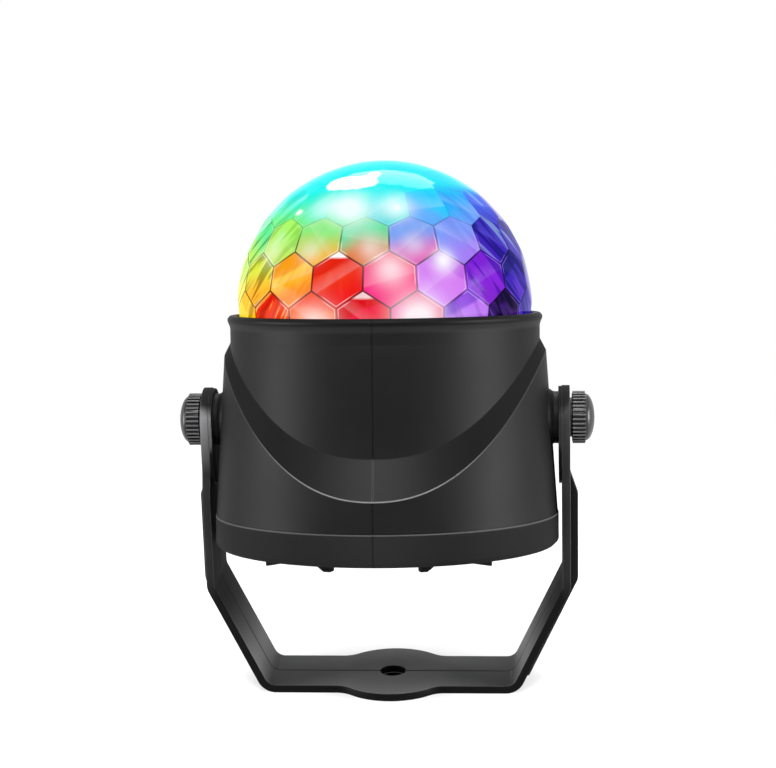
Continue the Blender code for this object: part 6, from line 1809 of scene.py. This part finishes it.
# %% Make the button
BUTTON_TOP = taper_radius(CONTROL_HEIGHT) + 0.5 * MM
BUTTON_DISH = [(0, BUTTON_TOP - 0.25 * MM), (1.2 * MM, BUTTON_TOP - 0.2 * MM)]
DISH_RADIUS = 1.9 * MM
FLANGE_RADIUS = 3.6 * MM
FLANGE_FRONT = math.sqrt((taper_radius(CONTROL_HEIGHT) - WALL) ** 2 - FLANGE_RADIUS ** 2) - GAP
FLANGE_BACK = FLANGE_FRONT - 0.8 * MM
STEM_RADIUS = 1.3 * MM
STEM_END = 29.9 * MM + GAP
BUTTON_RADII = in_mm(0, 0.35, 0, 0.15, 0.15, 0, 0.2, 0)
button_profile = BUTTON_DISH + softened(
    [(DISH_RADIUS, BUTTON_TOP), (BUTTON_RADIUS, BUTTON_TOP), (BUTTON_RADIUS, FLANGE_FRONT),
     (FLANGE_RADIUS, FLANGE_FRONT), (FLANGE_RADIUS, FLANGE_BACK), (STEM_RADIUS, FLANGE_BACK),
     (STEM_RADIUS, STEM_END), (0, STEM_END)], BUTTON_RADII, closed=False)
BUTTON_FINISH = grained("button_black", (30, 30, 31), (38, 38, 39), (90, 90, 92), (0.34, 0.44), depth=0.1,
                        width=0.2 * MM)
dressed("push_button", plain_mesh("button", lathe(button_profile, 40)), BUTTON_FINISH, "button",
        ["mode_button"], HEAD_PLACE @ back_place(BUTTON_ANGLE))

# %% [markdown]
# ## Finishes for the parts inside
#
# The drive, the boards and the lamps are hidden by the housing, but each keeps its
# own finish: brushed steel and aluminium, turned brass, moulded nylon gears, solder
# mask with traces, and clear lenses.

# %% Metal
ALUMINIUM_FINISH = brushed("aluminium_plain", (168, 170, 172), (206, 208, 210), (0.3, 0.45), (1, 0.05, 1))
BRASS_FINISH = brushed("brass_turned", (172, 132, 62), (214, 176, 98), (0.24, 0.36), (0.2, 1, 1))
CAN_FINISH = brushed("motor_steel", (140, 142, 146), (186, 188, 192), (0.26, 0.4), (0.08, 0.08, 1))

# %% Moulded parts and boards
NYLON_FINISH = grained("nylon_gear", (214, 212, 196), (228, 226, 212), (240, 238, 228), (0.4, 0.52),
                       grain=1500.0, depth=0.1, width=0.2 * MM)
CASE_FINISH = grained("gear_case_plastic", (176, 176, 170), (190, 190, 184), (214, 214, 208), (0.45, 0.58),
                      grain=1400.0, depth=0.15)
SPIDER_FINISH = grained("carrier_plastic_pale", (196, 196, 190), (208, 208, 202), (226, 226, 222),
                        (0.42, 0.54), grain=1400.0, depth=0.12)
CHIP_FINISH = grained("chip_resin", (20, 20, 22), (28, 28, 30), (50, 50, 52), (0.45, 0.6), grain=3500.0,
                      depth=0.2, width=0.15 * MM)
SLEEVE_FINISH = grained("capacitor_sleeve_blue", (24, 34, 74), (30, 42, 88), (80, 92, 140), (0.28, 0.38),
                        depth=0.05, width=0.2 * MM, coat=0.3)
RED_WIRE_FINISH = grained("wire_red", (150, 18, 18), (172, 26, 24), (196, 60, 56), (0.38, 0.5), depth=0.1)
BLACK_WIRE_FINISH = grained("wire_black", (16, 16, 16), (24, 24, 24), (44, 44, 44), (0.38, 0.5), depth=0.1)
WHITE_WIRE_FINISH = grained("wire_white", (196, 196, 192), (212, 212, 208), (226, 226, 224), (0.38, 0.5),
                            depth=0.1)
CELL_SCALE = 420.0
TRACE_SCALE = 160.0
TRACE_HEIGHT = 0.04 * MM


def circuit(name, mask, trace, rough):
    """A board with traces of another tone under its mask."""
    made, tree, shader, place = new_material(name)
    cells = add(tree, "ShaderNodeTexVoronoi", {"Vector": place, "Scale": CELL_SCALE, "Randomness": 0.15},
                feature="DISTANCE_TO_EDGE", distance="MANHATTAN").outputs["Distance"]
    tracks = ranged(tree, cells, 0.06, 0.1, 1.0, 0.0)
    drawn = times(tree, tracks, ranged(tree, noise(tree, place, TRACE_SCALE, 1.0), 0.48, 0.54))
    fill(tree, shader, {
        "Base Color": blend(tree, drawn, rgb(*mask), rgb(*trace)),
        "Roughness": ranged(tree, drawn, 0.0, 1.0, *rough)})
    bumped(tree, shader, drawn, 0.3, TRACE_HEIGHT)
    return made


GREEN_BOARD_FINISH = circuit("solder_mask_green", (18, 92, 46), (44, 132, 74), (0.34, 0.26))
WHITE_BOARD_FINISH = circuit("solder_mask_white", (222, 224, 222), (200, 202, 200), (0.36, 0.3))

# %% Lamps and lenses
LAMP_MOTTLE = 900.0
LENS_MOTTLE = 1200.0
CLEAR_HEIGHT = 0.02 * MM


def lamp_chip(name, colour):
    """A lamp in its pale case, with lighter specks in its window."""
    made, tree, shader, place = new_material(name)
    mottle = ranged(tree, noise(tree, place, LAMP_MOTTLE, 2.0), 0.3, 0.7)
    glow = blend(tree, mottle, rgb(*colour), WHITE)
    fill(tree, shader, {
        "Base Color": glow, "Emission Color": blend(tree, mottle, rgb(*colour), glow),
        "Emission Strength": 1.0, "Roughness": ranged(tree, mottle, 0.0, 1.0, 0.2, 0.35)})
    bumped(tree, shader, mottle, 0.1, CLEAR_HEIGHT)
    return made


LENS_FINISH, tree, shader, place = new_material("lens_acrylic")
haze = ranged(tree, noise(tree, place, LENS_MOTTLE, 2.0), 0.3, 0.7)
fill(tree, shader, {
    "Base Color": blend(tree, haze, rgb(236, 242, 246), rgb(250, 252, 254)),
    "Roughness": ranged(tree, haze, 0.0, 1.0, 0.02, 0.08), "Transmission Weight": 0.9, "IOR": 1.49})
bumped(tree, shader, haze, 0.05, CLEAR_HEIGHT)

# %% Put the finishes on the solids
SOLID_FINISHES = {
    "heat_deck": ALUMINIUM_FINISH, "microphone": ALUMINIUM_FINISH, "motor_can": CAN_FINISH,
    "motor_pinion": BRASS_FINISH, "shaft_bush": BRASS_FINISH, "pivot_insert_left": BRASS_FINISH,
    "pivot_insert_right": BRASS_FINISH, "idler_gear": NYLON_FINISH, "output_gear": NYLON_FINISH,
    "gear_case": CASE_FINISH, "gear_cover": CASE_FINISH, "dome_carrier": SPIDER_FINISH,
    "control_chip": CHIP_FINISH, "mode_switch": CHIP_FINISH, "capacitor": SLEEVE_FINISH,
    "motor_lead_red": RED_WIRE_FINISH, "motor_lead_black": BLACK_WIRE_FINISH,
    "led_harness": WHITE_WIRE_FINISH, "control_board": GREEN_BOARD_FINISH, "led_board": WHITE_BOARD_FINISH}
STEEL_SOLIDS = ("idler_axle", "motor_shaft", "output_shaft", "spring_washer_left", "spring_washer_right",
                "stud_left", "stud_right")
LAMP_TONES = {"red": (240, 40, 30), "green": (40, 220, 70), "blue": (40, 70, 240)}
for name in STEEL_SOLIDS:
    SOLID_FINISHES[name] = STEEL_FINISH
for name, colour in LAMP_TONES.items():
    SOLID_FINISHES["led_" + name] = lamp_chip("lamp_" + name, colour)
    SOLID_FINISHES["led_lens_" + name] = LENS_FINISH
for name, finish in SOLID_FINISHES.items():
    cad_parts[name].material_slots[0].material = finish
print(len(SOLID_FINISHES), "solids keep their shape and get a finish")

# %% [markdown]
# ## Camera, floor and light
#
# The camera stands where the product picture was taken: a little to the right and
# above, with a long lens. The floor is pale and runs out into white, and only it and
# the sky know that a camera looks, so the light on the lamp stays what it is.

# %% Camera
CAMERA_YAW = math.radians(4.559)
CAMERA_PITCH = math.radians(3.93)
CAMERA_ROLL = math.radians(-0.708)
CAMERA_DISTANCE = 491.06 * MM
CAMERA_SIDE = 0.5787 * MM
CAMERA_HEIGHT = 72.948 * MM
CAMERA_LENS = 91.11
UPWARD = Vector((0, 0, 1))

back = Vector((math.sin(CAMERA_YAW), -math.cos(CAMERA_YAW), 0))
right = Vector((math.cos(CAMERA_YAW), math.sin(CAMERA_YAW), 0))
spot = back * CAMERA_DISTANCE + right * CAMERA_SIDE + UPWARD * CAMERA_HEIGHT
forward = -back * math.cos(CAMERA_PITCH) - UPWARD * math.sin(CAMERA_PITCH)
level_up = right.cross(forward)
across = right * math.cos(CAMERA_ROLL) + level_up * math.sin(CAMERA_ROLL)
up = level_up * math.cos(CAMERA_ROLL) - right * math.sin(CAMERA_ROLL)
axes = Matrix((across, up, -forward)).transposed().to_4x4()
camera = bpy.data.objects.new("camera", bpy.data.cameras.new("camera"))
camera.data.lens = CAMERA_LENS
camera.data.sensor_fit = "HORIZONTAL"
camera.data.clip_start = 0.01
camera.matrix_world = HEAD_PLACE @ Matrix.Translation(spot) @ axes
bpy.context.scene.collection.objects.link(camera)
bpy.context.scene.camera = camera
print("camera at", [round(value, 3) for value in camera.matrix_world.translation])

# %% Floor
FLOOR_RADIUS = 1.2
FLOOR_DROP = 0.02 * MM
FLOOR_TONE = (0.82, 0.82, 0.82, 1)
FLOOR_HOLE_SHADE = rgb(8, 8, 8)
HOLE_EDGE = in_mm(3.5, 4)


def watched_rays(tree):
    """1 for rays from the camera, also by a mirror or through a clear piece, and 0 for the rest."""
    rays = add(tree, "ShaderNodeLightPath").outputs
    return largest(tree, rays["Is Camera Ray"], rays["Is Glossy Ray"], rays["Is Transmission Ray"])


floor_shape = bmesh.new()
bmesh.ops.create_circle(floor_shape, cap_ends=True, segments=96, radius=FLOOR_RADIUS)
floor = stand_in("pale_floor", floor_shape)
floor.data.transform(Matrix.Translation((0, 0, -FLOOR_DROP)))
FLOOR_FINISH, tree, shader, place = new_material("pale_floor")
runs_out = ranged(tree, length_of(tree, place), 0.08, 0.3, 0.6, 1.0, smooth=True)
from_hole = length_of(tree, vector_maths(tree, "SUBTRACT", place, (0, PIVOT.y, 0)))
off_hole = ranged(tree, from_hole, *HOLE_EDGE)
# Painted shadow: under the bracket's foot hole the floor is near black and has no white glow.
fill(tree, shader, {
    "Base Color": blend(tree, off_hole, FLOOR_HOLE_SHADE, FLOOR_TONE), "Roughness": 0.9, "Specular IOR Level": 0.0})
glow_white = add(tree, "ShaderNodeEmission", {"Color": WHITE, "Strength": 1.0})
mixed = add(tree, "ShaderNodeMixShader", {
    0: times(tree, watched_rays(tree), runs_out, off_hole), 1: shader.outputs[0], 2: glow_white.outputs[0]})
fill(tree, tree.nodes["Material Output"], {"Surface": mixed.outputs[0]})
floor.data.materials.append(FLOOR_FINISH)
print("floor of", len(floor.data.polygons), "face")

# %% Sky
SKY_LIGHT = 0.35
world = bpy.data.worlds.new("studio")
bpy.context.scene.world = world
world.use_nodes = True
tree = world.node_tree
fill(tree, tree.nodes["Background"], {
    "Color": WHITE, "Strength": ranged(tree, watched_rays(tree), 0.0, 1.0, SKY_LIGHT, 1.0)})
print("the sky lights the pieces with", SKY_LIGHT)

# %% Lamps
LAMP_TARGET = Vector((0, 0, 0.07))
LAMP_DISTANCE = 0.6


def soft_lamp(name, width, height, power, azimuth, elevation):
    """A rectangular soft lamp that looks at the housing. Azimuth 0 is the camera's side."""
    data = bpy.data.lights.new(name, "AREA")
    data.shape = "RECTANGLE"
    data.size = width
    data.size_y = height
    data.energy = power
    lamp = bpy.data.objects.new(name, data)
    angle = math.radians(azimuth)
    level = math.cos(math.radians(elevation))
    away = Vector((math.sin(angle) * level, -math.cos(angle) * level, math.sin(math.radians(elevation))))
    lamp.location = LAMP_TARGET + away * LAMP_DISTANCE
    lamp.rotation_euler = (-away).to_track_quat("-Z", "Y").to_euler()
    bpy.context.scene.collection.objects.link(lamp)


soft_lamp("lamp_left", 0.22, 0.4, 9.0, -74, 0)
soft_lamp("lamp_right", 0.28, 0.4, 11.5, 78, 0)
soft_lamp("lamp_front_top", 0.22, 0.12, 4.5, 0, 50)
soft_lamp("lamp_top", 0.6, 0.6, 3.0, 0, 85)
soft_lamp("lamp_back_top", 0.3, 0.2, 3.0, 180, 48)
bpy.context.scene.view_settings.view_transform = "Standard"
